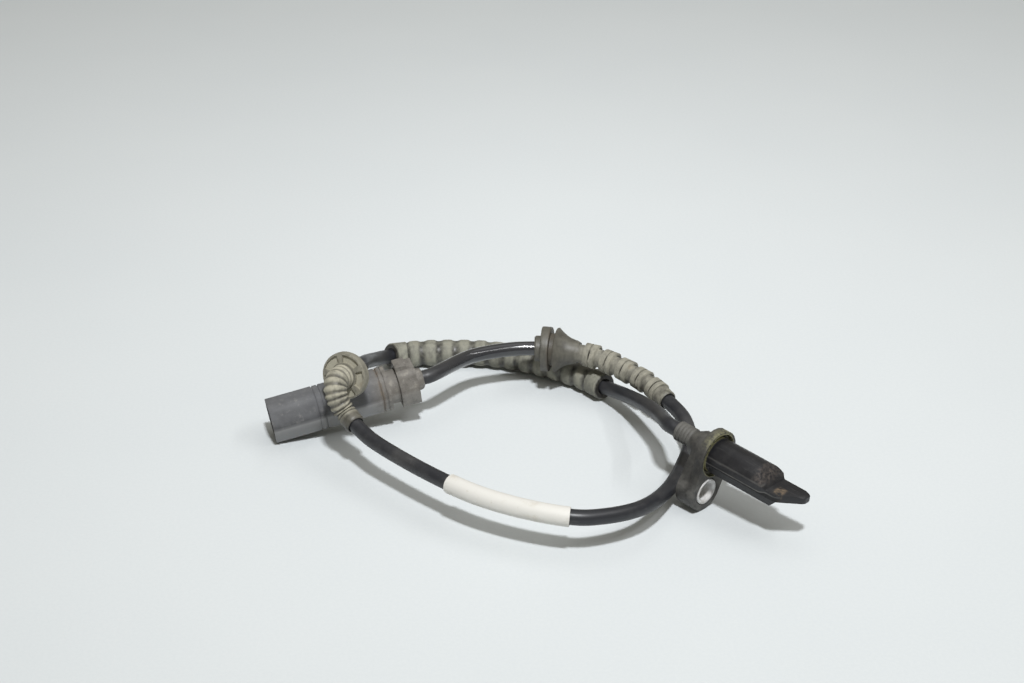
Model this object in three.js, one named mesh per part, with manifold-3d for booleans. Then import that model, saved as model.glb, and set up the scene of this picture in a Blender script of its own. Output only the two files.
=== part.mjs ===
// Wheel speed sensor with its cable, lying as it comes to rest on a flat surface.
// Millimetres, +Z up. The origin is on the surface, under the middle of the sensor head.
import * as THREE from 'three';
import { mergeVertices } from 'three/addons/utils/BufferGeometryUtils.js';
import Module from 'manifold-3d';

const wasm = await Module();
wasm.setup();

// Fits and facets shared by the whole part
const CLEARANCE = 0.3;
const REST_GAP = 0.02;
const OVERRUN = 1;
const ROUND_SIDES = 24;
const RUBBER_SIDES = 16;
const SMALL_SIDES = 12;

// Cable
const CABLE_DIAMETER = 5;
const CABLE_SIDES = 10;
const CABLE_STEPS = 80;
const STRAIGHT_OUT_OF_HEAD = 4;
const STRAIGHT_INTO_CONNECTOR = 2.5;
const CORE_DIAMETER = 1.5;
const CORE_SPACING = 2.9;
const HEAD_CORE_LENGTH = 2;

// Sensor head, measured from the seating face of its flange
const HEAD_PLACE = { x: -6.2, y: 4.0, yaw: -44.6, droop: 4.6 };
const BODY_DIAMETER = 12;
const BODY_REAR = 6;
const SPIGOT_DIAMETER = 8.2;
const BODY_ROUND_LENGTH = 17.8;
const BODY_SLOPE_LENGTH = 4.6;
const TONGUE_LENGTH = 33;
const TONGUE_TOP = 0.8;
const TONGUE_BOTTOM = -1.8;
const TONGUE_WIDTH = 9.4;
const TONGUE_BEVEL_LENGTH = 7;
const TONGUE_TIP_WIDTH = 3;
const TONGUE_NOSE = { drop: 0.8, length: 2 };
const SHOULDER_LENGTH = 1.5;
const PLAN_CORNER = 0.9;
const RAIL_START = 0.5;
const RAIL_LENGTH = 22.7;
const RAIL_CHAMFER = 3.7;
const RAIL_WIDTH = 8.4;
const SIDE_GROOVE_WIDTH = 1.5;
const SIDE_GROOVE_DEPTH = 1.3;

const FLANGE_DIAMETER = 16.6;
const FLANGE_THICKNESS = 7;
const FLANGE_RECESS_WIDTH = 1.3;
const FLANGE_RECESS_DEPTH = 1.6;
const LUG_RADIUS = 6.8;
const LUG_SIDE_OFFSET = 4.1;
const LUG_DROP = 11.9;
const BUSH_OUTER_DIAMETER = 8.8;
const BUSH_BORE = 6.4;
const BUSH_PROUD = 0.2;
const BUSH_CHAMFER = 0.5;
const FLANGE_DISC_THICKNESS = 3;
const HUB_DIAMETER = 10.8;
const HUB_LENGTH = 3;
const HUB_SHOULDER_WIDTH = 1.4;
const WEB_INSET = 0.5;
const CABLE_RISE = 1.2;
const RELIEF_LENGTH = 6.5;
const RELIEF_DIAMETER = 6.6;
const RELIEF_GROOVE = 0.25;
const RELIEF_RINGS = 5;
const RELIEF_RING_SHAPE = { rise: 0.2, crest: 0.65, fall: 0.9 };

// Sensing element inside the head
const POCKET_WIDTH = 5.2;
const POCKET_TOP = 2.4;
const POCKET_BOTTOM = -1.3;
const POCKET_LENGTH = 20.5;
const CHIP = { width: 4.4, height: 1, length: 4.4 };
const MAGNET = { width: 4, length: 4 };
const LEG = { width: 0.9, thickness: 0.4, spacing: 2.4 };
const CRIMP = { diameter: 1.8, length: 4.4 };

// Stations along the cable count from the end of the head's relief

// Long corrugated sleeve on the cable
const SLEEVE_START = 64.5;
const SLEEVE_LENGTH = 84.5;
const SLEEVE_RIBS = 12;
const SLEEVE_RIB_DIAMETER = 9.3;
const SLEEVE_ROOT_DIAMETER = 8.4;
const SLEEVE_COLLAR_LENGTH = 6.5;
const SLEEVE_COLLAR_DIAMETER = 9.2;
const SLEEVE_RIB_SHAPE = { foot: 0.2, rise: 0.4, crest: 0.8 };

// Round panel grommet with a finely ringed tail
const PANEL_GROMMET_START = 204.5;
const PANEL_DISC_DIAMETER = 15.8;
const PANEL_DISC_THICKNESS = 3;
const PANEL_NECK_LENGTH = 4;
const PANEL_NECK_DIAMETER = 9;
const PANEL_WEB_RECESS = 1;
const PANEL_RIM_WIDTH = 1.2;
const PANEL_SPOKES = 5;
const PANEL_HALF_SPOKE = 0.18;
const PANEL_TAIL_RINGS = 10;
const PANEL_TAIL_LENGTH = 17.6;
const PANEL_TAIL_ROOT = 8.4;
const PANEL_TAIL_END = 6.9;
const PANEL_RING_DEPTH = 0.45;
const PANEL_CUP_LENGTH = 4.6;
const PANEL_RING_SHAPE = { rise: 0.35, crest: 0.65 };

// Bracket grommet with two flanges and a slotted tail
const BRACKET_GROMMET_START = 418.5;
const BRACKET_CUP_LENGTH = 4.6;
const BRACKET_BLOCKS = 5;
const BRACKET_BLOCK_PITCH = 7.1;
const BRACKET_NOTCH_WIDTH = 2.4;
const BRACKET_SLIT_WIDTH = 0.9;
const BRACKET_TAIL_ROOT = 8.4;
const BRACKET_TAIL_END = 6.8;
const BRACKET_CORE_DIAMETER = 6.4;
const BRACKET_TRUMPET_LENGTH = 8;
const TRUMPET_STEPS = 5;
const TRUMPET_FLARE = 2.2;
const BRACKET_FLANGE_DIAMETER = 15.6;
const BRACKET_GROOVE_DIAMETER = 11.4;
const BRACKET_GROOVE_WIDTH = 1.8;
const BRACKET_FLANGE_THICKNESS = 3.4;
const BRACKET_COLLAR_LENGTH = 2.4;
const BRACKET_COLLAR_DIAMETER = 9;

// Rounded edges of the moulded rubber
const RUBBER_EDGE = 0.5;
const BLOCK_EDGE = 0.3;

// White marker sleeve
const MARKER_START = 278.7;
const MARKER_LENGTH = 41.5;
const MARKER_WALL = 0.35;

// Connector, measured back from the rim of its mouth
const CONNECTOR_PLACE = { x: -152.1, y: 46.1, yaw: 195.4, droop: 9.7 };
const SHELL_LENGTH = 41;
const SHELL_HEIGHT = 14.4;
const SHELL_WIDTH = 15.6;
const SHELL_WALL = 1.6;
const SHELL_FLAT_SHARE = 0.52;
const SHELL_CORNER = 2.2;
const MOUTH_DEPTH = 21;
const PARTITION = 3;
const SEAMS = [15.7, 17.7, 37.6, 39.2];
const SEAM_WIDTH = 0.5;
const SEAM_DEPTH = 0.35;
const NECK_DIAMETER = 11.6;
const NECK_LENGTH = 7;
const CAVITY_DIAMETER = 8.4;
const PIN = { diameter: 1.5, reach: 8, spacing: 3.4, taper: 0.8, tip: 0.6 };
const TERMINAL = { diameter: 2.3, length: 9 };
const CARRIER_LENGTH = 12;
const CARRIER_WEB = 1;
const LOCK_THICKNESS = 1.6;
const SEAL_LENGTH = 6;
const SEAL_LIPS = 3;
const SEAL_LIP_HEIGHT = 0.6;
const SEAL_LIP_SHAPE = { rise: 0.35, crest: 0.65 };
const CAP_START = 44.3;
const CAP_LENGTH = 6.4;
const CAP_WIDTH = 14.9;
const CAP_HEIGHT = 13.6;
const CAP_FLAT_SHARE = 0.67;
const CAP_CORNER = 2;
const CAP_TAB = { width: 6, above: 1.4, below: 0.5, length: 4, root: 1.3 };
const BOOT_LENGTH = 5;
const BOOT_DIAMETER = 8.2;
const BOOT_TAPER = { length: 2, depth: 0.5 };

// Route of the cable's free stretch, from the sensor head to the connector
const FREE_ROUTE = [
  [-22.8, 32.4, 17.2],
  [-27.1, 47, 13.2],
  [-32, 60.6, 8.8],
  [-38.6, 72.2, 5.6],
  [-49, 83.6, 4.95],
  [-75.5, 97.5, 4.95],
  [-99.9, 99.2, 4.95],
  [-114.1, 96.6, 5],
  [-119.6, 83.6, 10.5],
  [-121.9, 57.1, 22.9],
  [-123.9, 49.3, 25],
  [-125.4, 42.9, 26.7],
  [-128.3, 36, 27.9],
  [-128.7, 33.3, 26.4],
  [-127.7, 31.4, 23],
  [-125.4, 30.2, 19.4],
  [-120.2, 24, 16.4],
  [-114, 16.4, 15.4],
  [-81.1, -12.9, 14.2],
  [-53.1, -23.6, 13.4],
  [-42.5, -21.5, 12.4],
  [-31.7, -14.3, 10.6],
  [-22.5, 1.8, 6.8],
  [-15.7, 20.3, 5.4],
  [-12.6, 31.7, 7.4],
  [-13.9, 42.8, 9.8],
  [-19, 53.6, 11],
  [-25.3, 62.2, 13],
  [-39.7, 74.5, 15.3],
  [-47.3, 78, 15.9],
  [-59.3, 81.4, 15.9],
  [-68.4, 81.6, 15.9],
  [-76.4, 80, 15.8],
  [-85.7, 76.1, 15.6],
];

// Finishes
const finish = (color, roughness, metalness) => ({ color, roughness, metalness });
const BLACK_PLASTIC = finish(0x1b1b1d, 0.4, 0);
const FLANGE_PLASTIC = finish(0x3a3933, 0.7, 0);
const CONNECTOR_PLASTIC = finish(0x4d4c4a, 0.6, 0);
const CARRIER_PLASTIC = finish(0x8a8f90, 0.55, 0);
const CABLE_JACKET = finish(0x1e1f22, 0.45, 0);
const CORE_INSULATION = finish(0x6b3a22, 0.5, 0);
const DUSTY_RUBBER = finish(0x6b675c, 0.85, 0);
const WHITE_FILM = finish(0xd9d6cb, 0.6, 0);
const SEAL_RUBBER = finish(0x7d4a34, 0.7, 0);
const STEEL = finish(0xa9aaa8, 0.4, 0.9);
const TINNED_COPPER = finish(0xb9b4a6, 0.35, 1);
const MAGNET_GREY = finish(0x55565a, 0.45, 0.8);
const CHIP_BLACK = finish(0x232326, 0.5, 0);

// Turns a closed geometry into a manifold solid
function solidOf(geometry) {
  const bare = geometry.clone();
  bare.deleteAttribute('normal');
  bare.deleteAttribute('uv');
  const merged = mergeVertices(bare, 1e-4);
  return new wasm.Manifold(new wasm.Mesh({
    numProp: 3,
    vertProperties: new Float32Array(merged.attributes.position.array),
    triVerts: new Uint32Array(merged.index.array),
  }));
}

// Turns a manifold solid back into a geometry
function geometryOf(solid) {
  const mesh = solid.getMesh();
  const geometry = new THREE.BufferGeometry();
  geometry.setAttribute('position', new THREE.BufferAttribute(new Float32Array(mesh.vertProperties), 3));
  geometry.setIndex(new THREE.BufferAttribute(new Uint32Array(mesh.triVerts), 1));
  return geometry;
}

function cut(body, ...tools) {
  return geometryOf(tools.reduce((left, tool) => left.subtract(solidOf(tool)), solidOf(body)));
}

function join(body, ...others) {
  return geometryOf(others.reduce((all, other) => all.add(solidOf(other)), solidOf(body)));
}

function common(body, ...others) {
  return geometryOf(others.reduce((all, other) => all.intersect(solidOf(other)), solidOf(body)));
}

// Extrudes an outline square to its plane
function extruded(outline, depth, curveSegments) {
  return new THREE.ExtrudeGeometry(outline, { depth, bevelEnabled: false, curveSegments });
}

// Extrudes an outline in Y and Z along X
function alongX(outline, from, to, curveSegments = 12) {
  const geometry = extruded(outline, to - from, curveSegments);
  geometry.applyMatrix4(new THREE.Matrix4().makeBasis(
    new THREE.Vector3(0, 1, 0), new THREE.Vector3(0, 0, 1), new THREE.Vector3(1, 0, 0)));
  return geometry.translate(from, 0, 0);
}

// Extrudes an outline in X and Z along Y, half the width to each side
function acrossY(outline, width) {
  const geometry = extruded(outline, width, 8);
  geometry.applyMatrix4(new THREE.Matrix4().makeBasis(
    new THREE.Vector3(1, 0, 0), new THREE.Vector3(0, 0, 1), new THREE.Vector3(0, -1, 0)));
  return geometry.translate(0, width / 2, 0);
}

// Extrudes an outline in X and Y along Z
function alongZ(outline, from, to) {
  return extruded(outline, to - from, 12).translate(0, 0, from);
}

// Revolves a profile of [distance along X, radius] pairs; a closed profile leaves a bore
function revolved(profile, sides) {
  const points = profile.map(([along, radius]) => new THREE.Vector2(radius, along));
  return new THREE.LatheGeometry(points, sides).rotateZ(-Math.PI / 2);
}

// Closes an outer profile on itself along a plain bore
function withBore(outer, boreRadius, stops = []) {
  const first = outer[0];
  const last = outer[outer.length - 1];
  const bore = [last[0], ...stops.slice().reverse(), first[0]].map((along) => [along, boreRadius]);
  return [...outer, ...bore, first];
}

function cylinderX(radius, from, to, sides = ROUND_SIDES) {
  return revolved([[from, 0], [from, radius], [to, radius], [to, 0]], sides);
}

function boxBetween([x0, y0, z0], [x1, y1, z1]) {
  return new THREE.BoxGeometry(x1 - x0, y1 - y0, z1 - z0)
    .translate((x0 + x1) / 2, (y0 + y1) / 2, (z0 + z1) / 2);
}

// Polygon outline from a list of corners
function outlineOf(corners) {
  return new THREE.Shape(corners.map(([a, b]) => new THREE.Vector2(a, b)));
}

// Outline with each corner rounded by a quadratic curve
function roundedOutline(corners, radius) {
  const shape = new THREE.Shape();
  const count = corners.length;
  corners.forEach((corner, index) => {
    const here = new THREE.Vector2(...corner);
    const before = new THREE.Vector2(...corners[(index + count - 1) % count]);
    const after = new THREE.Vector2(...corners[(index + 1) % count]);
    const start = here.clone().add(before.sub(here).setLength(radius));
    const end = here.clone().add(after.sub(here).setLength(radius));
    if (index === 0) shape.moveTo(start.x, start.y);
    else shape.lineTo(start.x, start.y);
    shape.quadraticCurveTo(here.x, here.y, end.x, end.y);
  });
  return shape;
}

// Places in the row frame
function placement({ x, y, yaw, droop }, z) {
  const turn = new THREE.Matrix4().makeRotationZ(THREE.MathUtils.degToRad(yaw))
    .multiply(new THREE.Matrix4().makeRotationY(THREE.MathUtils.degToRad(droop)));
  return new THREE.Matrix4().makeTranslation(x, y, z).multiply(turn);
}

const restHeight = (reachBelow, droop) => reachBelow * Math.cos(THREE.MathUtils.degToRad(droop));
const headMatrix = placement(
  HEAD_PLACE, restHeight(LUG_DROP + LUG_RADIUS, HEAD_PLACE.droop) + REST_GAP);
const connectorMatrix = placement(
  CONNECTOR_PLACE, restHeight(SHELL_HEIGHT / 2, CONNECTOR_PLACE.droop) + REST_GAP);

// Stations along the head and the connector that several pieces share
const bodyRearEnd = -BODY_REAR;
const discRear = -FLANGE_DISC_THICKNESS;
const hubRear = -FLANGE_THICKNESS - HUB_LENGTH;
const reliefRear = hubRear - RELIEF_LENGTH;
const cableHeadEnd = bodyRearEnd - CLEARANCE;
const cavityFront = -(MOUTH_DEPTH + PARTITION);
const carrierRear = cavityFront - CLEARANCE - CARRIER_LENGTH;
const lockRear = carrierRear - CLEARANCE - LOCK_THICKNESS;
const sealFront = lockRear - CLEARANCE;
const sealRear = sealFront - SEAL_LENGTH;
const cableConnectorEnd = sealFront - CLEARANCE;
const bootRear = -(CAP_START + CAP_LENGTH) - BOOT_LENGTH / 2;
const inHead = cableHeadEnd - reliefRear;
const boreRadius = CABLE_DIAMETER / 2 + CLEARANCE;
const elementFloor = (TONGUE_TOP + TONGUE_BOTTOM - CHIP.height) / 2;
const neckEnd = -SHELL_LENGTH - NECK_LENGTH;

// The cable's centreline, straight out of the head and straight into the connector
const inLine = (matrix, along, rise) => new THREE.Vector3(along, 0, rise).applyMatrix4(matrix);
const route = new THREE.CatmullRomCurve3([
  inLine(headMatrix, cableHeadEnd, CABLE_RISE),
  inLine(headMatrix, hubRear, CABLE_RISE),
  inLine(headMatrix, reliefRear, CABLE_RISE),
  inLine(headMatrix, reliefRear - STRAIGHT_OUT_OF_HEAD, CABLE_RISE),
  ...FREE_ROUTE.map((point) => new THREE.Vector3(...point)),
  inLine(connectorMatrix, bootRear - STRAIGHT_INTO_CONNECTOR, 0),
  inLine(connectorMatrix, bootRear, 0),
  inLine(connectorMatrix, (bootRear + cableConnectorEnd) / 2, 0),
  inLine(connectorMatrix, cableConnectorEnd, 0),
], false, 'centripetal');
route.arcLengthDivisions = 2000;
const routeLength = route.getLength();
const ringPoints = route.getSpacedPoints(CABLE_STEPS);
const ringFrames = route.computeFrenetFrames(CABLE_STEPS, false);
const stepLength = routeLength / CABLE_STEPS;

// Position and frame at a distance along the cable, straight between its rings
function frameAt(distance) {
  const place = THREE.MathUtils.clamp(distance / stepLength, 0, CABLE_STEPS - 1e-6);
  const index = Math.floor(place);
  const share = place - index;
  const between = (list) => list[index].clone().lerp(list[index + 1], share);
  return {
    point: between(ringPoints),
    normal: between(ringFrames.normals),
    binormal: between(ringFrames.binormals),
    tangent: between(ringFrames.tangents),
  };
}

// Bends a piece that was made straight along X onto the cable
function bent(geometry) {
  const position = geometry.attributes.position;
  for (let i = 0; i < position.count; i += 1) {
    const { point, normal, binormal } = frameAt(position.getX(i));
    point.addScaledVector(normal, position.getY(i)).addScaledVector(binormal, position.getZ(i));
    position.setXYZ(i, point.x, point.y, point.z);
  }
  return geometry;
}

// Places a rigid tool at a distance along the cable, X along it
function placedOnCable(geometry, distance) {
  const { point, normal, binormal, tangent } = frameAt(distance);
  const basis = new THREE.Matrix4().makeBasis(
    tangent.normalize(), normal.normalize(), binormal.normalize());
  return geometry.applyMatrix4(basis.setPosition(point));
}

// Distances of the cable's rings that lie between two distances
function ringStops(from, to) {
  const stops = [];
  for (let i = Math.ceil(from / stepLength); i * stepLength < to; i += 1) {
    if (i * stepLength > from + 0.05 && i * stepLength < to - 0.05) stops.push(i * stepLength);
  }
  return stops;
}

// Revolves a profile round the cable, with the cable's clearance as its bore
function onCable(outer) {
  const stops = ringStops(outer[0][0], outer[outer.length - 1][0]);
  return bent(revolved(withBore(outer, boreRadius, stops), RUBBER_SIDES));
}

// Sensor head: bar with a tongue, cut from a round section, a side profile and a plan
function sensorBody() {
  const radius = BODY_DIAMETER / 2;
  const tongueStart = BODY_ROUND_LENGTH + BODY_SLOPE_LENGTH;
  const halfTongue = TONGUE_WIDTH / 2;
  const roundSection = new THREE.Shape().absarc(0, 0, radius, 0, Math.PI * 2);
  const bar = join(
    alongX(roundSection, discRear + CLEARANCE, TONGUE_LENGTH),
    cylinderX(SPIGOT_DIAMETER / 2, bodyRearEnd, discRear + OVERRUN));
  const side = outlineOf([
    [bodyRearEnd, -radius],
    [RAIL_LENGTH, -radius],
    [RAIL_LENGTH + RAIL_CHAMFER, TONGUE_BOTTOM],
    [TONGUE_LENGTH, TONGUE_BOTTOM],
    [TONGUE_LENGTH, TONGUE_TOP - TONGUE_NOSE.drop],
    [TONGUE_LENGTH - TONGUE_NOSE.length, TONGUE_TOP],
    [tongueStart, TONGUE_TOP],
    [BODY_ROUND_LENGTH, radius],
    [bodyRearEnd, radius],
  ]);
  const plan = roundedOutline([
    [bodyRearEnd - OVERRUN, -radius],
    [tongueStart - SHOULDER_LENGTH, -radius],
    [tongueStart, -halfTongue],
    [TONGUE_LENGTH - TONGUE_BEVEL_LENGTH, -halfTongue],
    [TONGUE_LENGTH, halfTongue - TONGUE_TIP_WIDTH],
    [TONGUE_LENGTH, halfTongue],
    [tongueStart, halfTongue],
    [tongueStart - SHOULDER_LENGTH, radius],
    [bodyRearEnd - OVERRUN, radius],
  ], PLAN_CORNER);
  const shaped = common(bar, acrossY(side, BODY_DIAMETER), alongZ(plan, -radius, radius));
  const grooveTop = TONGUE_BOTTOM + SIDE_GROOVE_WIDTH;
  const grooves = [-1, 1].flatMap((hand) => {
    const outer = hand * (radius + OVERRUN);
    const strip = (inner, length, low, high) => boxBetween(
      [RAIL_START, Math.min(inner, outer), low], [length, Math.max(inner, outer), high]);
    return [
      strip(hand * (radius - SIDE_GROOVE_DEPTH), RAIL_LENGTH, TONGUE_BOTTOM, grooveTop),
      strip(hand * RAIL_WIDTH / 2, TONGUE_LENGTH, -radius - OVERRUN, TONGUE_BOTTOM + REST_GAP),
    ];
  });
  const halfPocket = POCKET_WIDTH / 2;
  const pocket = boxBetween(
    [bodyRearEnd - OVERRUN, -halfPocket, POCKET_BOTTOM], [POCKET_LENGTH, halfPocket, POCKET_TOP]);
  const chipFront = POCKET_LENGTH + CHIP.length + 2 * CLEARANCE;
  const chipSlot = boxBetween(
    [POCKET_LENGTH - OVERRUN, -CHIP.width / 2 - CLEARANCE, elementFloor - CLEARANCE],
    [chipFront, CHIP.width / 2 + CLEARANCE, elementFloor + CHIP.height + CLEARANCE]);
  return cut(shaped, ...grooves, pocket, chipSlot);
}

function flangeMoulding() {
  const flangeRadius = FLANGE_DIAMETER / 2;
  const flangeRear = -FLANGE_THICKNESS;
  const lugCentre = new THREE.Vector2(-LUG_SIDE_OFFSET, -LUG_DROP);
  const lugRound = new THREE.Shape().absarc(lugCentre.x, lugCentre.y, LUG_RADIUS, 0, Math.PI * 2);
  const reach = lugCentre.length();
  const sideways = new THREE.Vector2(-lugCentre.y, lugCentre.x).divideScalar(reach);
  const corner = (base, width) => [base.x + sideways.x * width, base.y + sideways.y * width];
  const middle = new THREE.Vector2();
  const webOutline = (width) => outlineOf([
    corner(middle, -width), corner(lugCentre, REST_GAP - LUG_RADIUS),
    corner(lugCentre, LUG_RADIUS - REST_GAP), corner(middle, width),
  ]);
  const lugPlate = alongX(lugRound, flangeRear, 0);
  const frontWeb = alongX(webOutline(flangeRadius - WEB_INSET), discRear, 0);
  const rearWeb = alongX(webOutline(HUB_DIAMETER / 2 - WEB_INSET), flangeRear, discRear + OVERRUN);
  const flange = cylinderX(flangeRadius, discRear, 0);
  const ringPitch = RELIEF_LENGTH / RELIEF_RINGS;
  const crest = RELIEF_DIAMETER / 2;
  const groove = crest - RELIEF_GROOVE;
  const reliefProfile = [[reliefRear, 0], [reliefRear, groove]];
  for (let ring = 0; ring < RELIEF_RINGS; ring += 1) {
    const start = reliefRear + ring * ringPitch;
    reliefProfile.push([start + ringPitch * RELIEF_RING_SHAPE.rise, crest]);
    reliefProfile.push([start + ringPitch * RELIEF_RING_SHAPE.crest, crest]);
    reliefProfile.push([start + ringPitch * RELIEF_RING_SHAPE.fall, groove]);
  }
  reliefProfile.push([hubRear + OVERRUN, groove], [hubRear + OVERRUN, 0]);
  const relief = revolved(reliefProfile, ROUND_SIDES).translate(0, 0, CABLE_RISE);
  const hub = revolved([
    [hubRear, 0],
    [hubRear, HUB_DIAMETER / 2 - HUB_SHOULDER_WIDTH - CLEARANCE],
    [hubRear + CLEARANCE, HUB_DIAMETER / 2 - HUB_SHOULDER_WIDTH],
    [flangeRear, HUB_DIAMETER / 2],
    [discRear + OVERRUN, HUB_DIAMETER / 2],
    [discRear + OVERRUN, 0],
  ], ROUND_SIDES);
  const recess = cylinderX(BODY_DIAMETER / 2 + FLANGE_RECESS_WIDTH, -FLANGE_RECESS_DEPTH, OVERRUN);
  const bodySeat = cylinderX(BODY_DIAMETER / 2 + CLEARANCE, discRear, OVERRUN);
  const spigotSeat = cylinderX(SPIGOT_DIAMETER / 2 + CLEARANCE, cableHeadEnd, discRear + OVERRUN);
  const cableSeat = cylinderX(boreRadius, reliefRear - OVERRUN, bodyRearEnd)
    .translate(0, 0, CABLE_RISE);
  const bushSeat = cylinderX(BUSH_OUTER_DIAMETER / 2 + CLEARANCE, flangeRear - OVERRUN, OVERRUN)
    .translate(0, lugCentre.x, lugCentre.y);
  const moulded = join(flange, lugPlate, frontWeb, rearWeb, hub, relief);
  return cut(moulded, recess, bodySeat, spigotSeat, cableSeat, bushSeat);
}

function mountingBush() {
  const outer = BUSH_OUTER_DIAMETER / 2;
  const bore = BUSH_BORE / 2;
  const rear = -FLANGE_THICKNESS - BUSH_PROUD;
  const profile = [
    [rear, outer],
    [BUSH_PROUD, outer],
    [BUSH_PROUD, bore + BUSH_CHAMFER],
    [BUSH_PROUD - BUSH_CHAMFER, bore],
    [rear + BUSH_CHAMFER, bore],
    [rear, bore + BUSH_CHAMFER],
    [rear, outer],
  ];
  return revolved(profile, ROUND_SIDES).translate(0, -LUG_SIDE_OFFSET, -LUG_DROP);
}

function sensingChip() {
  const rear = POCKET_LENGTH + CLEARANCE;
  return boxBetween(
    [rear, -CHIP.width / 2, elementFloor],
    [rear + CHIP.length, CHIP.width / 2, elementFloor + CHIP.height]);
}

function backMagnet() {
  const front = POCKET_LENGTH - CLEARANCE;
  return boxBetween(
    [front - MAGNET.length, -MAGNET.width / 2, elementFloor + LEG.thickness + CLEARANCE],
    [front, MAGNET.width / 2, POCKET_TOP - CLEARANCE]);
}

// Order of the pieces in line behind the chip
const coreHeadFront = bodyRearEnd + HEAD_CORE_LENGTH;
const crimpRear = coreHeadFront + CLEARANCE;
const crimpFront = crimpRear + CRIMP.length;

function leadLeg(side) {
  const centre = side * LEG.spacing / 2;
  const rear = crimpFront + CLEARANCE;
  return boxBetween(
    [rear, centre - LEG.width / 2, elementFloor],
    [POCKET_LENGTH, centre + LEG.width / 2, elementFloor + LEG.thickness]);
}

function headCrimp(side) {
  return cylinderX(CRIMP.diameter / 2, crimpRear, crimpFront, SMALL_SIDES)
    .translate(0, side * LEG.spacing / 2, 0);
}

function headCore(side) {
  return cylinderX(CORE_DIAMETER / 2, bodyRearEnd, coreHeadFront, SMALL_SIDES)
    .translate(0, side * LEG.spacing / 2, 0);
}

// Cable and the rubber pieces on it
function cableJacket() {
  const section = new THREE.Shape();
  for (let corner = 0; corner < CABLE_SIDES; corner += 1) {
    const angle = corner / CABLE_SIDES * Math.PI * 2;
    const x = Math.cos(angle) * CABLE_DIAMETER / 2;
    const y = Math.sin(angle) * CABLE_DIAMETER / 2;
    if (corner === 0) section.moveTo(x, y);
    else section.lineTo(x, y);
  }
  return new THREE.ExtrudeGeometry(section, { steps: CABLE_STEPS, extrudePath: route, bevelEnabled: false });
}

function corrugatedSleeve() {
  const start = inHead + SLEEVE_START;
  const end = start + SLEEVE_LENGTH;
  const collar = SLEEVE_COLLAR_DIAMETER / 2;
  const root = SLEEVE_ROOT_DIAMETER / 2;
  const crest = SLEEVE_RIB_DIAMETER / 2;
  const firstRib = start + SLEEVE_COLLAR_LENGTH;
  const pitch = (SLEEVE_LENGTH - 2 * SLEEVE_COLLAR_LENGTH) / SLEEVE_RIBS;
  const outer = [
    [start, collar - RUBBER_EDGE],
    [start + RUBBER_EDGE, collar],
    [firstRib - RUBBER_EDGE, collar],
  ];
  for (let rib = 0; rib < SLEEVE_RIBS; rib += 1) {
    const ribAt = firstRib + rib * pitch;
    outer.push([ribAt, root]);
    outer.push([ribAt + pitch * SLEEVE_RIB_SHAPE.foot, root]);
    outer.push([ribAt + pitch * SLEEVE_RIB_SHAPE.rise, crest]);
    outer.push([ribAt + pitch * SLEEVE_RIB_SHAPE.crest, crest]);
  }
  const lastCollar = end - SLEEVE_COLLAR_LENGTH;
  outer.push([lastCollar, root], [lastCollar + RUBBER_EDGE, collar]);
  outer.push([end - RUBBER_EDGE, collar], [end, collar - RUBBER_EDGE]);
  return onCable(outer);
}

// Disc with a sunk web between spokes, then a ringed tail that ends in a plain cup
function panelGrommet() {
  const start = inHead + PANEL_GROMMET_START;
  const neck = PANEL_NECK_DIAMETER / 2;
  const disc = PANEL_DISC_DIAMETER / 2;
  const discRear = start + PANEL_NECK_LENGTH;
  const discFront = discRear + PANEL_DISC_THICKNESS;
  const tailEnd = discFront + PANEL_TAIL_LENGTH;
  const outer = [
    [start, neck - RUBBER_EDGE],
    [start + RUBBER_EDGE, neck],
    [discRear, neck],
    [discRear, disc - RUBBER_EDGE],
    [discRear + RUBBER_EDGE, disc],
    [discFront - RUBBER_EDGE, disc],
    [discFront, disc - RUBBER_EDGE],
  ];
  const pitch = PANEL_TAIL_LENGTH / PANEL_TAIL_RINGS;
  for (let ring = 0; ring < PANEL_TAIL_RINGS; ring += 1) {
    const crest = THREE.MathUtils.lerp(PANEL_TAIL_ROOT, PANEL_TAIL_END, ring / (PANEL_TAIL_RINGS - 1)) / 2;
    const ringAt = discFront + ring * pitch;
    outer.push([ringAt, crest - PANEL_RING_DEPTH]);
    outer.push([ringAt + pitch * PANEL_RING_SHAPE.rise, crest]);
    outer.push([ringAt + pitch * PANEL_RING_SHAPE.crest, crest]);
  }
  const cup = PANEL_TAIL_END / 2;
  const end = tailEnd + PANEL_CUP_LENGTH;
  outer.push([tailEnd, cup - PANEL_RING_DEPTH], [tailEnd + RUBBER_EDGE, cup]);
  outer.push([end - RUBBER_EDGE, cup], [end, cup - BLOCK_EDGE]);
  const body = onCable(outer);
  const pockets = [];
  const inner = PANEL_TAIL_ROOT / 2 + RUBBER_EDGE;
  const rim = disc - PANEL_RIM_WIDTH;
  const share = Math.PI * 2 / PANEL_SPOKES;
  const face = PANEL_DISC_THICKNESS / 2;
  for (let spoke = 0; spoke < PANEL_SPOKES; spoke += 1) {
    const from = spoke * share + PANEL_HALF_SPOKE;
    const to = (spoke + 1) * share - PANEL_HALF_SPOKE;
    const pocket = new THREE.Shape();
    pocket.absarc(0, 0, rim, from, to, false);
    pocket.absarc(0, 0, inner, to, from, true);
    const tool = alongX(pocket, face - PANEL_WEB_RECESS, face + OVERRUN, 4);
    pockets.push(placedOnCable(tool, (discRear + discFront) / 2));
  }
  return cut(body, ...pockets);
}

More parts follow.
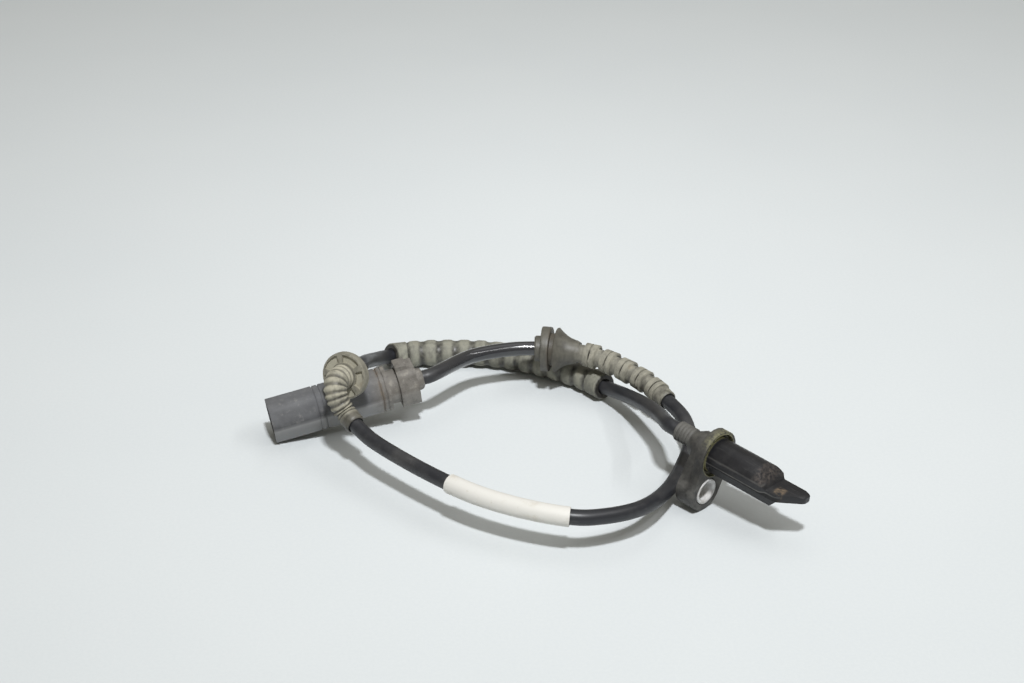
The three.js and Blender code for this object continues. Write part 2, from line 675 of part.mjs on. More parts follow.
// Slotted tail, trumpet and two flanges with the bracket's groove between them
function bracketGrommet() {
  const start = inHead + BRACKET_GROMMET_START;
  const tailStart = start + BRACKET_CUP_LENGTH;
  const tailEnd = tailStart + BRACKET_BLOCKS * BRACKET_BLOCK_PITCH;
  const trumpetEnd = tailEnd + BRACKET_TRUMPET_LENGTH;
  const grooveEnd = trumpetEnd + BRACKET_GROOVE_WIDTH;
  const flangeEnd = grooveEnd + BRACKET_FLANGE_THICKNESS;
  const end = flangeEnd + BRACKET_COLLAR_LENGTH;
  const cup = BRACKET_TAIL_END / 2;
  const root = BRACKET_TAIL_ROOT / 2;
  const flange = BRACKET_FLANGE_DIAMETER / 2;
  const groove = BRACKET_GROOVE_DIAMETER / 2;
  const collar = BRACKET_COLLAR_DIAMETER / 2;
  const outer = [
    [start, cup - BLOCK_EDGE],
    [start + RUBBER_EDGE, cup],
    [tailStart, cup],
  ];
  for (let block = 0; block < BRACKET_BLOCKS; block += 1) {
    const radius = THREE.MathUtils.lerp(cup + BLOCK_EDGE, root, (block + 1) / BRACKET_BLOCKS);
    const blockAt = tailStart + block * BRACKET_BLOCK_PITCH;
    outer.push([blockAt + BLOCK_EDGE, radius - BLOCK_EDGE / 2]);
    outer.push([blockAt + BRACKET_BLOCK_PITCH - BLOCK_EDGE, radius]);
  }
  for (let step = 1; step <= TRUMPET_STEPS; step += 1) {
    const share = step / TRUMPET_STEPS;
    const flare = root + (flange - root) * share ** TRUMPET_FLARE;
    outer.push([tailEnd + share * (BRACKET_TRUMPET_LENGTH - RUBBER_EDGE), flare]);
  }
  outer.push([trumpetEnd, flange - RUBBER_EDGE], [trumpetEnd, groove]);
  outer.push([grooveEnd, groove], [grooveEnd, flange - RUBBER_EDGE]);
  outer.push([grooveEnd + RUBBER_EDGE, flange], [flangeEnd - RUBBER_EDGE, flange]);
  outer.push([flangeEnd, flange - RUBBER_EDGE], [flangeEnd, collar]);
  outer.push([end - RUBBER_EDGE, collar], [end, collar - RUBBER_EDGE]);
  const body = onCable(outer);
  const core = BRACKET_CORE_DIAMETER / 2;
  const across = BRACKET_TAIL_ROOT + 2 * OVERRUN;
  const tools = [];
  for (let block = 1; block <= BRACKET_BLOCKS; block += 1) {
    const notchAt = tailStart + block * BRACKET_BLOCK_PITCH - BRACKET_NOTCH_WIDTH / 2 - BLOCK_EDGE;
    const slitAt = notchAt - BRACKET_BLOCK_PITCH / 2;
    for (const hand of [-1, 1]) {
      const notch = new THREE.BoxGeometry(BRACKET_NOTCH_WIDTH, root, across)
        .translate(0, hand * (core + root / 2), 0);
      const slit = new THREE.BoxGeometry(BRACKET_SLIT_WIDTH, across, root)
        .translate(0, 0, hand * (core + root / 2));
      tools.push(placedOnCable(notch, notchAt), placedOnCable(slit, slitAt));
    }
  }
  return cut(body, ...tools);
}

function markerSleeve() {
  const radius = boreRadius + MARKER_WALL;
  const start = inHead + MARKER_START;
  const end = start + MARKER_LENGTH;
  const stops = ringStops(start, end).map((along) => [along, radius]);
  return onCable([[start, radius], ...stops, [end, radius]]);
}

// Six-sided outline with soft corners, widest at half its height
function sixSided(width, height, flatShare, cornerRadius) {
  const side = width / 2;
  const top = height / 2;
  const flat = side * flatShare;
  return roundedOutline([
    [side, 0], [flat, top], [-flat, top], [-side, 0], [-flat, -top], [flat, -top],
  ], cornerRadius);
}

// Shell's barrel, inset from or grown past its outer face
function barrel(inset, from, to) {
  const outline = sixSided(
    SHELL_WIDTH - 2 * inset, SHELL_HEIGHT - 2 * inset, SHELL_FLAT_SHARE, SHELL_CORNER);
  return alongX(outline, from, to, 3);
}

function connectorShell() {
  const neck = cylinderX(NECK_DIAMETER / 2, neckEnd, -SHELL_LENGTH + OVERRUN);
  const mouth = barrel(SHELL_WALL, -MOUTH_DEPTH, OVERRUN);
  const cavity = cylinderX(CAVITY_DIAMETER / 2, neckEnd - OVERRUN, cavityFront);
  const pinHoles = [-1, 1].map((side) => cylinderX(
    PIN.diameter / 2 + CLEARANCE, cavityFront - OVERRUN, OVERRUN - MOUTH_DEPTH, SMALL_SIDES)
    .translate(0, side * PIN.spacing / 2, 0));
  const seams = SEAMS.map((at) => cut(
    barrel(-OVERRUN, -at - SEAM_WIDTH, -at),
    barrel(SEAM_DEPTH, -at - SEAM_WIDTH - OVERRUN, -at + OVERRUN)));
  return cut(join(barrel(0, -SHELL_LENGTH, 0), neck), mouth, cavity, ...pinHoles, ...seams);
}

// Contact pin with its crimp barrel
function contactPin(side) {
  const tip = -MOUTH_DEPTH + PIN.reach;
  const shoulder = cavityFront - CLEARANCE - CARRIER_WEB;
  const rear = shoulder - TERMINAL.length;
  const pin = PIN.diameter / 2;
  const crimp = TERMINAL.diameter / 2;
  return revolved([
    [rear, 0],
    [rear, crimp],
    [shoulder, crimp],
    [shoulder, pin],
    [tip - PIN.taper, pin],
    [tip, PIN.tip / 2],
    [tip, 0],
  ], SMALL_SIDES).translate(0, side * PIN.spacing / 2, 0);
}

function contactCarrier() {
  const front = cavityFront - CLEARANCE;
  const body = cylinderX(CAVITY_DIAMETER / 2 - CLEARANCE, carrierRear, front);
  const channels = [-1, 1].flatMap((side) => [
    cylinderX(TERMINAL.diameter / 2 + CLEARANCE, carrierRear - OVERRUN,
      front - CARRIER_WEB + CLEARANCE, SMALL_SIDES),
    cylinderX(PIN.diameter / 2 + CLEARANCE, front - CARRIER_WEB - OVERRUN, front + OVERRUN, SMALL_SIDES),
  ].map((tool) => tool.translate(0, side * PIN.spacing / 2, 0)));
  return cut(body, ...channels);
}

function secondaryLock() {
  const plate = cylinderX(CAVITY_DIAMETER / 2 - CLEARANCE, lockRear, carrierRear - CLEARANCE);
  const holes = [-1, 1].map((side) => cylinderX(
    CORE_DIAMETER / 2 + CLEARANCE, lockRear - OVERRUN, carrierRear, SMALL_SIDES)
    .translate(0, side * CORE_SPACING / 2, 0));
  return cut(plate, ...holes);
}

function connectorCore(side) {
  const front = cavityFront - CARRIER_WEB - TERMINAL.length - 2 * CLEARANCE;
  return cylinderX(CORE_DIAMETER / 2, cableConnectorEnd + CLEARANCE, front, SMALL_SIDES)
    .translate(0, side * CORE_SPACING / 2, 0);
}

function cableSeal() {
  const outer = CAVITY_DIAMETER / 2 - CLEARANCE;
  const root = outer - SEAL_LIP_HEIGHT;
  const pitch = SEAL_LENGTH / SEAL_LIPS;
  const profile = [];
  for (let lip = 0; lip < SEAL_LIPS; lip += 1) {
    const start = sealRear + lip * pitch;
    profile.push([start, root]);
    profile.push([start + pitch * SEAL_LIP_SHAPE.rise, outer]);
    profile.push([start + pitch * SEAL_LIP_SHAPE.crest, outer]);
  }
  profile.push([sealFront, root]);
  return revolved(withBore(profile, boreRadius), ROUND_SIDES);
}

// Cap that snaps over the neck, with a tab above and below
function rearCap() {
  const rear = -(CAP_START + CAP_LENGTH);
  const front = -CAP_START;
  const neckSeat = cylinderX(NECK_DIAMETER / 2 + CLEARANCE, neckEnd - CLEARANCE, front + OVERRUN);
  const bootSeat = cylinderX(BOOT_DIAMETER / 2 + CLEARANCE, rear - OVERRUN, front);
  const body = alongX(sixSided(CAP_WIDTH, CAP_HEIGHT, CAP_FLAT_SHARE, CAP_CORNER), rear, front, 4);
  const edge = CAP_HEIGHT / 2;
  const tab = (low, high) => boxBetween(
    [front - CAP_TAB.length, -CAP_TAB.width / 2, low], [front, CAP_TAB.width / 2, high]);
  const upper = tab(edge - CAP_TAB.root, edge + CAP_TAB.above);
  const lower = tab(-edge - CAP_TAB.below, CAP_TAB.root - edge);
  return cut(join(body, upper, lower), neckSeat, bootSeat);
}

function neckBoot() {
  const front = neckEnd - CLEARANCE * 2;
  const outer = BOOT_DIAMETER / 2;
  return revolved(withBore([
    [bootRear, outer - BOOT_TAPER.depth - RUBBER_EDGE],
    [bootRear + RUBBER_EDGE, outer - BOOT_TAPER.depth],
    [front - BOOT_TAPER.length, outer],
    [front, outer],
  ], boreRadius), ROUND_SIDES);
}

// Assembly
const part = new THREE.Group();

function add(name, geometry, look, matrix = null) {
  const mesh = new THREE.Mesh(geometry, new THREE.MeshStandardMaterial(look));
  mesh.name = name;
  if (matrix) mesh.applyMatrix4(matrix);
  part.add(mesh);
}

add('sensor_body', sensorBody(), BLACK_PLASTIC, headMatrix);
add('flange_moulding', flangeMoulding(), FLANGE_PLASTIC, headMatrix);
add('mounting_bush', mountingBush(), STEEL, headMatrix);
add('sensing_chip', sensingChip(), CHIP_BLACK, headMatrix);
add('back_magnet', backMagnet(), MAGNET_GREY, headMatrix);
for (const [name, side] of [['signal', -1], ['supply', 1]]) {
  add(`${name}_leg`, leadLeg(side), TINNED_COPPER, headMatrix);
  add(`${name}_crimp`, headCrimp(side), TINNED_COPPER, headMatrix);
  add(`${name}_core_at_head`, headCore(side), CORE_INSULATION, headMatrix);
  add(`${name}_pin`, contactPin(side), TINNED_COPPER, connectorMatrix);
  add(`${name}_core_at_connector`, connectorCore(side), CORE_INSULATION, connectorMatrix);
}
add('cable', cableJacket(), CABLE_JACKET);
add('corrugated_sleeve', corrugatedSleeve(), DUSTY_RUBBER);
add('panel_grommet', panelGrommet(), DUSTY_RUBBER);
add('bracket_grommet', bracketGrommet(), DUSTY_RUBBER);
add('marker_sleeve', markerSleeve(), WHITE_FILM);
add('connector_shell', connectorShell(), CONNECTOR_PLASTIC, connectorMatrix);
add('contact_carrier', contactCarrier(), CARRIER_PLASTIC, connectorMatrix);
add('secondary_lock', secondaryLock(), CARRIER_PLASTIC, connectorMatrix);
add('cable_seal', cableSeal(), SEAL_RUBBER, connectorMatrix);
add('rear_cap', rearCap(), CONNECTOR_PLASTIC, connectorMatrix);
add('neck_boot', neckBoot(), DUSTY_RUBBER, connectorMatrix);

export default part;
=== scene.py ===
# %% [markdown]
# A wheel speed sensor with its cable.
# The object is a small moulded sensing head with a bolt-on lug, half a metre of black cable
# and a plug connector. A corrugated sleeve, two rubber grommets and a white marker sleeve sit
# on the cable. The solids come in as a fixed frame. This lesson adds the camera, the light,
# the finish of each surface and finer forms for the rubber pieces.

# %% Load the solids
import bpy
import math
from mathutils import Euler, Matrix, Vector


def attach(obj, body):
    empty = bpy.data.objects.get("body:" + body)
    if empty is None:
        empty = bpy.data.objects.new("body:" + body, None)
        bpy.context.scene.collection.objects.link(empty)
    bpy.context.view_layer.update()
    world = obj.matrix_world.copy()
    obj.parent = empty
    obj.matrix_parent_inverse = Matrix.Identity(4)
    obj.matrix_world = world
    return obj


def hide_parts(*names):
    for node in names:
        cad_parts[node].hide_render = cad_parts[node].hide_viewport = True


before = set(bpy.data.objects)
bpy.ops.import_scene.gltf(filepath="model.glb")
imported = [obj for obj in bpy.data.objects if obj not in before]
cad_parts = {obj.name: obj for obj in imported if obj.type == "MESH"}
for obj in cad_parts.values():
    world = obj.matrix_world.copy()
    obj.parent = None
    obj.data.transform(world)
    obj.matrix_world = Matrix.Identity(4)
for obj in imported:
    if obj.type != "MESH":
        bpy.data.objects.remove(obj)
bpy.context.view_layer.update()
MM = 0.001

# %% [markdown]
# Camera.
# A long lens a little above the table gives the flat, calm perspective of a product picture.
# It could be aimed at a target object, but a place and one tilt put it there for good. It
# comes first, because it decides what detail is worth making.

# %% Camera
CAMERA_PLACE = (-0.0712, -0.5521, 0.3490)
CAMERA_TILT = math.radians(62.47)
LENS = 72.18
SENSOR_WIDTH = 36
bpy.ops.object.select_all(action="DESELECT")
bpy.ops.object.camera_add(location=CAMERA_PLACE, rotation=(CAMERA_TILT, 0, 0))
camera = bpy.context.object
camera.data.lens = LENS
camera.data.sensor_width = SENSOR_WIDTH
bpy.context.scene.camera = camera
bpy.context.scene.view_settings.view_transform = "Standard"
print("camera", CAMERA_PLACE)

# %% [markdown]
# The cable's line.
# The cable leaves the head's relief, lies on the table inside its corrugated sleeve, climbs
# over the connector, swings round the front, passes over the sleeve and ends in the
# connector. Bezier handles could shape it, but each would need tuning. A centripetal spline
# passes through every point without loops or overshoot, so a few dozen points are enough.

# %% Places of the head and the connector
HEAD_AT = Vector((-6.2, 4.0, 18.6598)) * MM
HEAD_TURN = Euler((0, math.radians(4.6), math.radians(-44.6)))
CONNECTOR_AT = Vector((-152.1, 46.1, 7.1171)) * MM
CONNECTOR_TURN = Euler((0, math.radians(9.7), math.radians(195.4)))
head_place = Matrix.Translation(HEAD_AT) @ HEAD_TURN.to_matrix().to_4x4()
connector_place = Matrix.Translation(CONNECTOR_AT) @ CONNECTOR_TURN.to_matrix().to_4x4()
print("head at", tuple(round(v, 4) for v in HEAD_AT))

# %% Route of the cable, in metres
CABLE_DIAMETER = 0.005
RELIEF_END = -0.0165
HEAD_AXIS_STOPS = (-0.0063, -0.010, RELIEF_END, -0.0205)
CABLE_RISE = 0.0012
CONNECTOR_AXIS_STOPS = (-0.0557, -0.0532, -0.0460, -0.0388)
FREE_ROUTE = [
    (-0.0228, 0.0324, 0.0172),
    (-0.0271, 0.047, 0.0132),
    (-0.032, 0.0606, 0.0088),
    (-0.0386, 0.0722, 0.0056),
    (-0.049, 0.0836, 0.00495),
    (-0.0755, 0.0975, 0.00495),
    (-0.0999, 0.0992, 0.00495),
    (-0.1141, 0.0966, 0.005),
    (-0.1196, 0.0836, 0.0105),
    (-0.1219, 0.0571, 0.0229),
    (-0.1239, 0.0493, 0.025),
    (-0.1254, 0.0429, 0.0267),
    (-0.1283, 0.036, 0.0279),
    (-0.1287, 0.0333, 0.0264),
    (-0.1277, 0.0314, 0.023),
    (-0.1254, 0.0302, 0.0194),
    (-0.1202, 0.024, 0.0164),
    (-0.114, 0.0164, 0.0154),
    (-0.0811, -0.0129, 0.0142),
    (-0.0531, -0.0236, 0.0134),
    (-0.0425, -0.0215, 0.0124),
    (-0.0317, -0.0143, 0.0106),
    (-0.0225, 0.0018, 0.0068),
    (-0.0157, 0.0203, 0.0054),
    (-0.0126, 0.0317, 0.0074),
    (-0.0139, 0.0428, 0.0098),
    (-0.019, 0.0536, 0.011),
    (-0.0253, 0.0622, 0.013),
    (-0.0397, 0.0745, 0.0153),
    (-0.0473, 0.078, 0.0159),
    (-0.0593, 0.0814, 0.0159),
    (-0.0684, 0.0816, 0.0159),
    (-0.0764, 0.08, 0.0158),
    (-0.0857, 0.0761, 0.0156),
]
route = [head_place @ Vector((stop, 0, CABLE_RISE)) for stop in HEAD_AXIS_STOPS]
route += [Vector(point) for point in FREE_ROUTE]
route += [connector_place @ Vector((stop, 0, 0)) for stop in CONNECTOR_AXIS_STOPS]
print("route points:", len(route))

# %% Smooth line through the route
LINE_STEPS = 16


def smooth_line(points, per_span):
    """Centripetal spline through the points, as a list of close points."""
    ends = [points[0] * 2 - points[1], *points, points[-1] * 2 - points[-2]]
    line = []
    for p0, p1, p2, p3 in zip(ends, ends[1:], ends[2:], ends[3:]):
        d0, d1, d2 = (math.sqrt((b - a).length) for a, b in ((p0, p1), (p1, p2), (p2, p3)))
        out = ((p1 - p0) / d0 - (p2 - p0) / (d0 + d1) + (p2 - p1) / d1) * d1
        back = ((p2 - p1) / d1 - (p3 - p1) / (d1 + d2) + (p3 - p2) / d2) * d1
        for step in range(per_span):
            t = step / per_span
            cubic = p1 * 2 - p2 * 2 + out + back
            square = p2 * 3 - p1 * 3 - out * 2 - back
            line.append(p1 + out * t + square * t ** 2 + cubic * t ** 3)
    line.append(points[-1].copy())
    return line


cable_line = smooth_line(route, LINE_STEPS)
cable_length = sum((b - a).length for a, b in zip(cable_line, cable_line[1:]))
print("cable length", round(cable_length, 4))

# %% Cable jacket
CABLE_ROUNDNESS = 6
cable_curve = bpy.data.curves.new("cable_jacket", "CURVE")
cable_curve.dimensions = "3D"
spline = cable_curve.splines.new("POLY")
spline.points.add(len(cable_line) - 1)
for point, place in zip(spline.points, cable_line):
    point.co = (*place, 1)
cable_curve.bevel_depth = CABLE_DIAMETER / 2
cable_curve.bevel_resolution = CABLE_ROUNDNESS
cable_curve.use_fill_caps = True
cable_curve.twist_mode = "MINIMUM"
cable = bpy.data.objects.new("cable_jacket", cable_curve)
bpy.context.collection.objects.link(cable)
print("cable points", len(cable_line))

# %% [markdown]
# Shader arithmetic.
# A finish is a small sum: a base colour, dust where one mask says, marks where another does.
# The nodes could be placed one by one, but such a script is hard to read. Wrapping a node's
# socket in a class lets Python's own signs add the Math nodes, so the sums read as sums.
# A Mix node has sockets of the same name for numbers, vectors and colours, so its colour
# sockets go by their number.

# %% Sockets that add and multiply
MIX_SHARE = 0
MIX_FIRST = 6
MIX_SECOND = 7
MIX_RESULT = 2


class Shade:
    """A number or colour that comes out of a shader node."""

    def __init__(self, tree, socket):
        self.tree = tree
        self.socket = socket

    def maths(self, operation, first, second=0.0, limit=False):
        """Adds one Math node; limit keeps its result between 0 and 1."""
        node = self.tree.nodes.new("ShaderNodeMath")
        node.operation = operation
        node.use_clamp = limit
        for slot, value in zip(node.inputs, (first, second)):
            feed(self.tree, slot, value)
        return Shade(self.tree, node.outputs[0])

    def __add__(self, other):
        return self.maths("ADD", self, other)

    def __radd__(self, other):
        return self.maths("ADD", other, self)

    def __sub__(self, other):
        return self.maths("SUBTRACT", self, other)

    def __rsub__(self, other):
        return self.maths("SUBTRACT", other, self)

    def __mul__(self, other):
        return self.maths("MULTIPLY", self, other)

    def __rmul__(self, other):
        return self.maths("MULTIPLY", other, self)

    def __truediv__(self, other):
        return self.maths("DIVIDE", self, other)

    def __rtruediv__(self, other):
        return self.maths("DIVIDE", other, self)

    def __pow__(self, other):
        return self.maths("POWER", self, other)

    def __rpow__(self, other):
        return self.maths("POWER", other, self)

    def between(self, low, high):
        """0 below low, 1 above high; low above high turns it round."""
        return self.maths("MULTIPLY", self - low, 1 / (high - low), limit=True)

    def band(self, low, high, soft):
        """1 between low and high, fading over soft outside them."""
        return self.between(low - soft, low) * self.between(high + soft, high)


def feed(tree, slot, value):
    """Links a Shade to a slot, or sets the slot's own value."""
    if isinstance(value, Shade):
        tree.links.new(value.socket, slot)
    elif slot.type == "RGBA" and len(value) == 3:
        slot.default_value = (*value, 1)
    else:
        slot.default_value = value


def tone(red, green, blue):
    """A colour as it is seen on screen, 0 to 255, turned into light."""
    return tuple(
        v / 12.92 if v <= 0.04045 else ((v + 0.055) / 1.055) ** 2.4
        for v in (red / 255, green / 255, blue / 255))


class Finish:
    """One material, built from sums of shades."""

    def __init__(self, name):
        self.material = bpy.data.materials.new(name)
        self.material.use_nodes = True
        self.tree = self.material.node_tree
        self.surface = self.tree.nodes["Principled BSDF"]

    def node(self, kind, settings=None, values=None, output=0):
        """Adds a node with its settings and sockets, and returns one of its outputs."""
        made = self.tree.nodes.new(kind)
        for key, value in (settings or {}).items():
            setattr(made, key, value)
        for key, value in (values or {}).items():
            feed(self.tree, made.inputs[key], value)
        return Shade(self.tree, made.outputs[output])

    def place(self):
        """Position on the piece, from Object coordinates."""
        return self.node("ShaderNodeTexCoord", output="Object")

    def local(self, at, turn):
        """Object position seen from a piece's own place."""
        return self.node(
            "ShaderNodeMapping", {"vector_type": "TEXTURE"},
            {"Vector": self.place(), "Location": at, "Rotation": turn})

    def form(self):
        """Position on the straight piece, before it was bent onto the cable."""
        return self.node("ShaderNodeAttribute", {"attribute_name": "form"}, output="Vector")

    def parts(self, vector):
        """The three coordinates of a vector."""
        first = self.node("ShaderNodeSeparateXYZ", None, {"Vector": vector})
        return [Shade(self.tree, out) for out in first.socket.node.outputs]

    def upward(self):
        """1 where a face looks up, -1 where it looks down."""
        return self.parts(self.node("ShaderNodeNewGeometry", output="Normal"))[2]

    def stretched(self, vector, scale):
        """Vector with a scale for each axis; a small one makes long marks."""
        return self.node(
            "ShaderNodeMapping", {"vector_type": "POINT"}, {"Vector": vector, "Scale": scale})

    def noise(self, vector, scale, detail=4.0, rough=0.6):
        return self.node(
            "ShaderNodeTexNoise", {"noise_dimensions": "3D"},
            {"Vector": vector, "Scale": scale, "Detail": detail, "Roughness": rough})

    def mix(self, share, first, second):
        """From the first colour to the second, by share."""
        return self.node(
            "ShaderNodeMix", {"data_type": "RGBA"},
            {MIX_SHARE: share, MIX_FIRST: first, MIX_SECOND: second}, MIX_RESULT)

    def wear(self, colour, roughness, height, depth, strength, metallic=0.0):
        """Puts the sums on the surface shader; height is the bump, depth its reach."""
        feed(self.tree, self.surface.inputs["Base Color"], colour)
        feed(self.tree, self.surface.inputs["Roughness"], roughness)
        feed(self.tree, self.surface.inputs["Metallic"], metallic)
        bump = self.node(
            "ShaderNodeBump", None,
            {"Height": height, "Strength": strength, "Distance": depth})
        feed(self.tree, self.surface.inputs["Normal"], bump)
        return self.material


print("shader helpers ready")

# %% [markdown]
# Rubber pieces on the cable.
# Sleeves and grommets are moulded straight and take the cable's bends when it is laid down.
# They are made the same way here: a profile is drawn point by point, spun round the X axis,
# cut while it is straight, and then bent along the cable's curve. The straight position is
# kept as an attribute, so that dust and stains can follow the piece's own form.

# %% Drawing a profile and spinning it
ROUND_STEPS = 48
RING_STEP = 0.8 * MM
MERGE_DISTANCE = 1e-6


def fine(profile):
    """Adds points so that no step along X is long, because a long step can't bend."""
    dense = [profile[0]]
    for (x0, r0), (x1, r1) in zip(profile, profile[1:]):
        steps = max(1, math.ceil(abs(x1 - x0) / RING_STEP))
        dense += [
            (x0 + (x1 - x0) * step / steps, r0 + (r1 - r0) * step / steps)
            for step in range(1, steps + 1)]
    return dense


def one_point(name, place):
    """New mesh of a single point, left in edit mode to be extruded."""
    bpy.ops.object.select_all(action="DESELECT")
    bpy.ops.mesh.primitive_plane_add(size=MM, location=(0, 0, 0))
    piece = bpy.context.object
    piece.name = name
    bpy.ops.object.mode_set(mode="EDIT")
    bpy.ops.mesh.select_all(action="SELECT")
    bpy.ops.mesh.merge(type="CENTER")
    bpy.ops.transform.translate(value=place)
    return piece


def spun(name, profile):
    """Spins a closed profile of (distance along X, radius) pairs round the X axis."""
    dense = fine([*profile, profile[0]])[:-1]
    piece = one_point(name, (dense[0][0], 0, dense[0][1]))
    for (x0, r0), (x1, r1) in zip(dense, dense[1:]):
        bpy.ops.mesh.extrude_vertices_move(
            TRANSFORM_OT_translate={"value": (x1 - x0, 0, r1 - r0)})
    bpy.ops.mesh.select_all(action="SELECT")
    bpy.ops.mesh.edge_face_add()
    bpy.ops.mesh.delete(type="ONLY_FACE")
    bpy.ops.mesh.select_all(action="SELECT")
    bpy.ops.mesh.spin(
        steps=ROUND_STEPS, angle=2 * math.pi, center=(0, 0, 0), axis=(1, 0, 0))
    bpy.ops.mesh.select_all(action="SELECT")
    bpy.ops.mesh.remove_doubles(threshold=MERGE_DISTANCE)
    bpy.ops.mesh.normals_make_consistent(inside=False)
    bpy.ops.object.mode_set(mode="OBJECT")
    return piece


print("profile tools ready")

# %% Cutting, bending and smoothing
SMOOTH_ANGLE = math.radians(35)
BEVEL_ANGLE = math.radians(40)
BEVEL_SEGMENTS = 2


def only(piece):
    """Selects one piece and makes it the active one."""
    bpy.ops.object.select_all(action="DESELECT")
    piece.select_set(True)
    bpy.context.view_layer.objects.active = piece


def box_tool(low, high, roll):
    """Box between two corners, rolled round the X axis."""
    bpy.ops.object.select_all(action="DESELECT")
    bpy.ops.mesh.primitive_cube_add(size=1)
    tool = bpy.context.object
    tool.scale = [b - a for a, b in zip(low, high)]
    tool.location = [(a + b) / 2 for a, b in zip(low, high)]
    bpy.ops.object.transform_apply(location=True, rotation=True, scale=True)
    tool.rotation_euler = (roll, 0, 0)
    bpy.ops.object.transform_apply(location=False, rotation=True, scale=False)
    return tool


def joined(tools):
    """Joins objects into the first of them."""
    bpy.ops.object.select_all(action="DESELECT")
    for tool in tools:
        tool.select_set(True)
    bpy.context.view_layer.objects.active = tools[0]
    bpy.ops.object.join()
    return tools[0]


def cut_by(piece, tools):
    """Takes the tools out of the piece in one exact cut, and deletes them."""
    tool = joined(tools)
    only(piece)
    knife = piece.modifiers.new("cuts", "BOOLEAN")
    knife.operation = "DIFFERENCE"
    knife.solver = "EXACT"
    knife.use_self = True
    knife.object = tool
    bpy.ops.object.modifier_apply(modifier=knife.name)
    bpy.data.objects.remove(tool)


def keep_form(piece):
    """Stores each point's straight position as an attribute."""
    store = piece.data.attributes.new("form", "FLOAT_VECTOR", "POINT")
    for record, vertex in zip(store.data, piece.data.vertices):
        record.vector = vertex.co


def bend_onto_cable(piece):
    """Lays a straight piece along the cable: its X is the distance from the cable's start."""
    only(piece)
    keep_form(piece)
    follow = piece.modifiers.new("follow_cable", "CURVE")
    follow.object = cable
    follow.deform_axis = "POS_X"
    bpy.ops.object.modifier_apply(modifier=follow.name)
    bpy.ops.object.shade_smooth_by_angle(angle=SMOOTH_ANGLE)


def soften(piece, width):
    """Rounds the sharp edges a little, as a mould does."""
    only(piece)
    edge = piece.modifiers.new("soft_edges", "BEVEL")
    edge.width = width
    edge.segments = BEVEL_SEGMENTS
    edge.limit_method = "ANGLE"
    edge.angle_limit = BEVEL_ANGLE
    bpy.ops.object.modifier_apply(modifier=edge.name)


print("bending tools ready")

# %% [markdown]
# Corrugated sleeve.
# The sleeve is soft rubber that keeps the cable off its neighbours: a plain collar at each
# end and low ribs between. A ring for each rib would leave seams, so one rib's outline is
# repeated along a single profile, which is spun once.

# %% Corrugated sleeve
CLEAR = 0.3 * MM
BORE = CABLE_DIAMETER / 2 + CLEAR
SLEEVE_FROM = 74.7 * MM
SLEEVE_LENGTH = 84.5 * MM
SLEEVE_COLLAR = 6.5 * MM
SLEEVE_RIBS = 12
SLEEVE_CREST = 4.65 * MM
SLEEVE_ROOT = 4.15 * MM
SLEEVE_COLLAR_RADIUS = 4.6 * MM
RIB_SHAPE = (
    (0.02, 0.06), (0.18, 0), (0.28, 0.35), (0.34, 0.8), (0.42, 0.97), (0.58, 1),
    (0.74, 0.97), (0.84, 0.8), (0.92, 0.4))
EDGE = 0.5 * MM


def closed_on_bore(outer):
    """Closes an outer line along the bore that the cable runs in."""
    return [*outer, (outer[-1][0], BORE), (outer[0][0], BORE)]


def sleeve_profile():
    """Collar, ribs of (share of the pitch, share of the height), collar."""
    end = SLEEVE_FROM + SLEEVE_LENGTH
    rib_from = SLEEVE_FROM + SLEEVE_COLLAR
    pitch = (SLEEVE_LENGTH - 2 * SLEEVE_COLLAR) / SLEEVE_RIBS
    outer = [
        (SLEEVE_FROM, SLEEVE_COLLAR_RADIUS - EDGE),
        (SLEEVE_FROM + EDGE, SLEEVE_COLLAR_RADIUS),
        (rib_from - EDGE, SLEEVE_COLLAR_RADIUS)]
    for rib in range(SLEEVE_RIBS):
        start = rib_from + rib * pitch
        outer += [
            (start + pitch * along, SLEEVE_ROOT + (SLEEVE_CREST - SLEEVE_ROOT) * height)
            for along, height in RIB_SHAPE]
    outer += [
        (end - SLEEVE_COLLAR, SLEEVE_ROOT),
        (end - SLEEVE_COLLAR + EDGE, SLEEVE_COLLAR_RADIUS),
        (end - EDGE, SLEEVE_COLLAR_RADIUS),
        (end, SLEEVE_COLLAR_RADIUS - EDGE)]
    return closed_on_bore(outer)


sleeve = spun("sleeve_rubber", sleeve_profile())
bend_onto_cable(sleeve)
print("sleeve faces", len(sleeve.data.polygons))

# %% [markdown]
# Panel grommet.
# This grommet plugs a hole in a panel. It has a short neck, a disc with sunken pockets between
# spokes, and a ringed tail that lets the cable bend hard. Pockets could be inset from the
# disc's faces, but a spun sector, cut out of the disc, keeps their walls round.

# %% Panel grommet
PANEL_FROM = 214.7 * MM
PANEL_NECK = 4 * MM
PANEL_NECK_RADIUS = 4.5 * MM
PANEL_DISC = 7.9 * MM
PANEL_DISC_THICK = 3 * MM
PANEL_RIM = 0.75 * MM
PANEL_SINK = 0.75 * MM
PANEL_RINGS = 10
PANEL_TAIL = 17.6 * MM
PANEL_TAIL_WIDE = 4.2 * MM
PANEL_TAIL_NARROW = 3.45 * MM
PANEL_RING_DEEP = 0.45 * MM
PANEL_CUP = 4.6 * MM
PANEL_SPOKES = 5
PANEL_SPOKE_ANGLE = 0.32
PANEL_ROLL = 0.3
PANEL_DISC_REAR = PANEL_FROM + PANEL_NECK
PANEL_DISC_FRONT = PANEL_DISC_REAR + PANEL_DISC_THICK
PANEL_TAIL_END = PANEL_DISC_FRONT + PANEL_TAIL
PANEL_PITCH = PANEL_TAIL / PANEL_RINGS
RING_SHAPE = ((0.1, 0), (0.24, 0.3), (0.36, 0.85), (0.5, 1), (0.66, 0.85), (0.8, 0.3))
CUP_CHAMFER = ((0.5, 0.15), (0, 0.5))
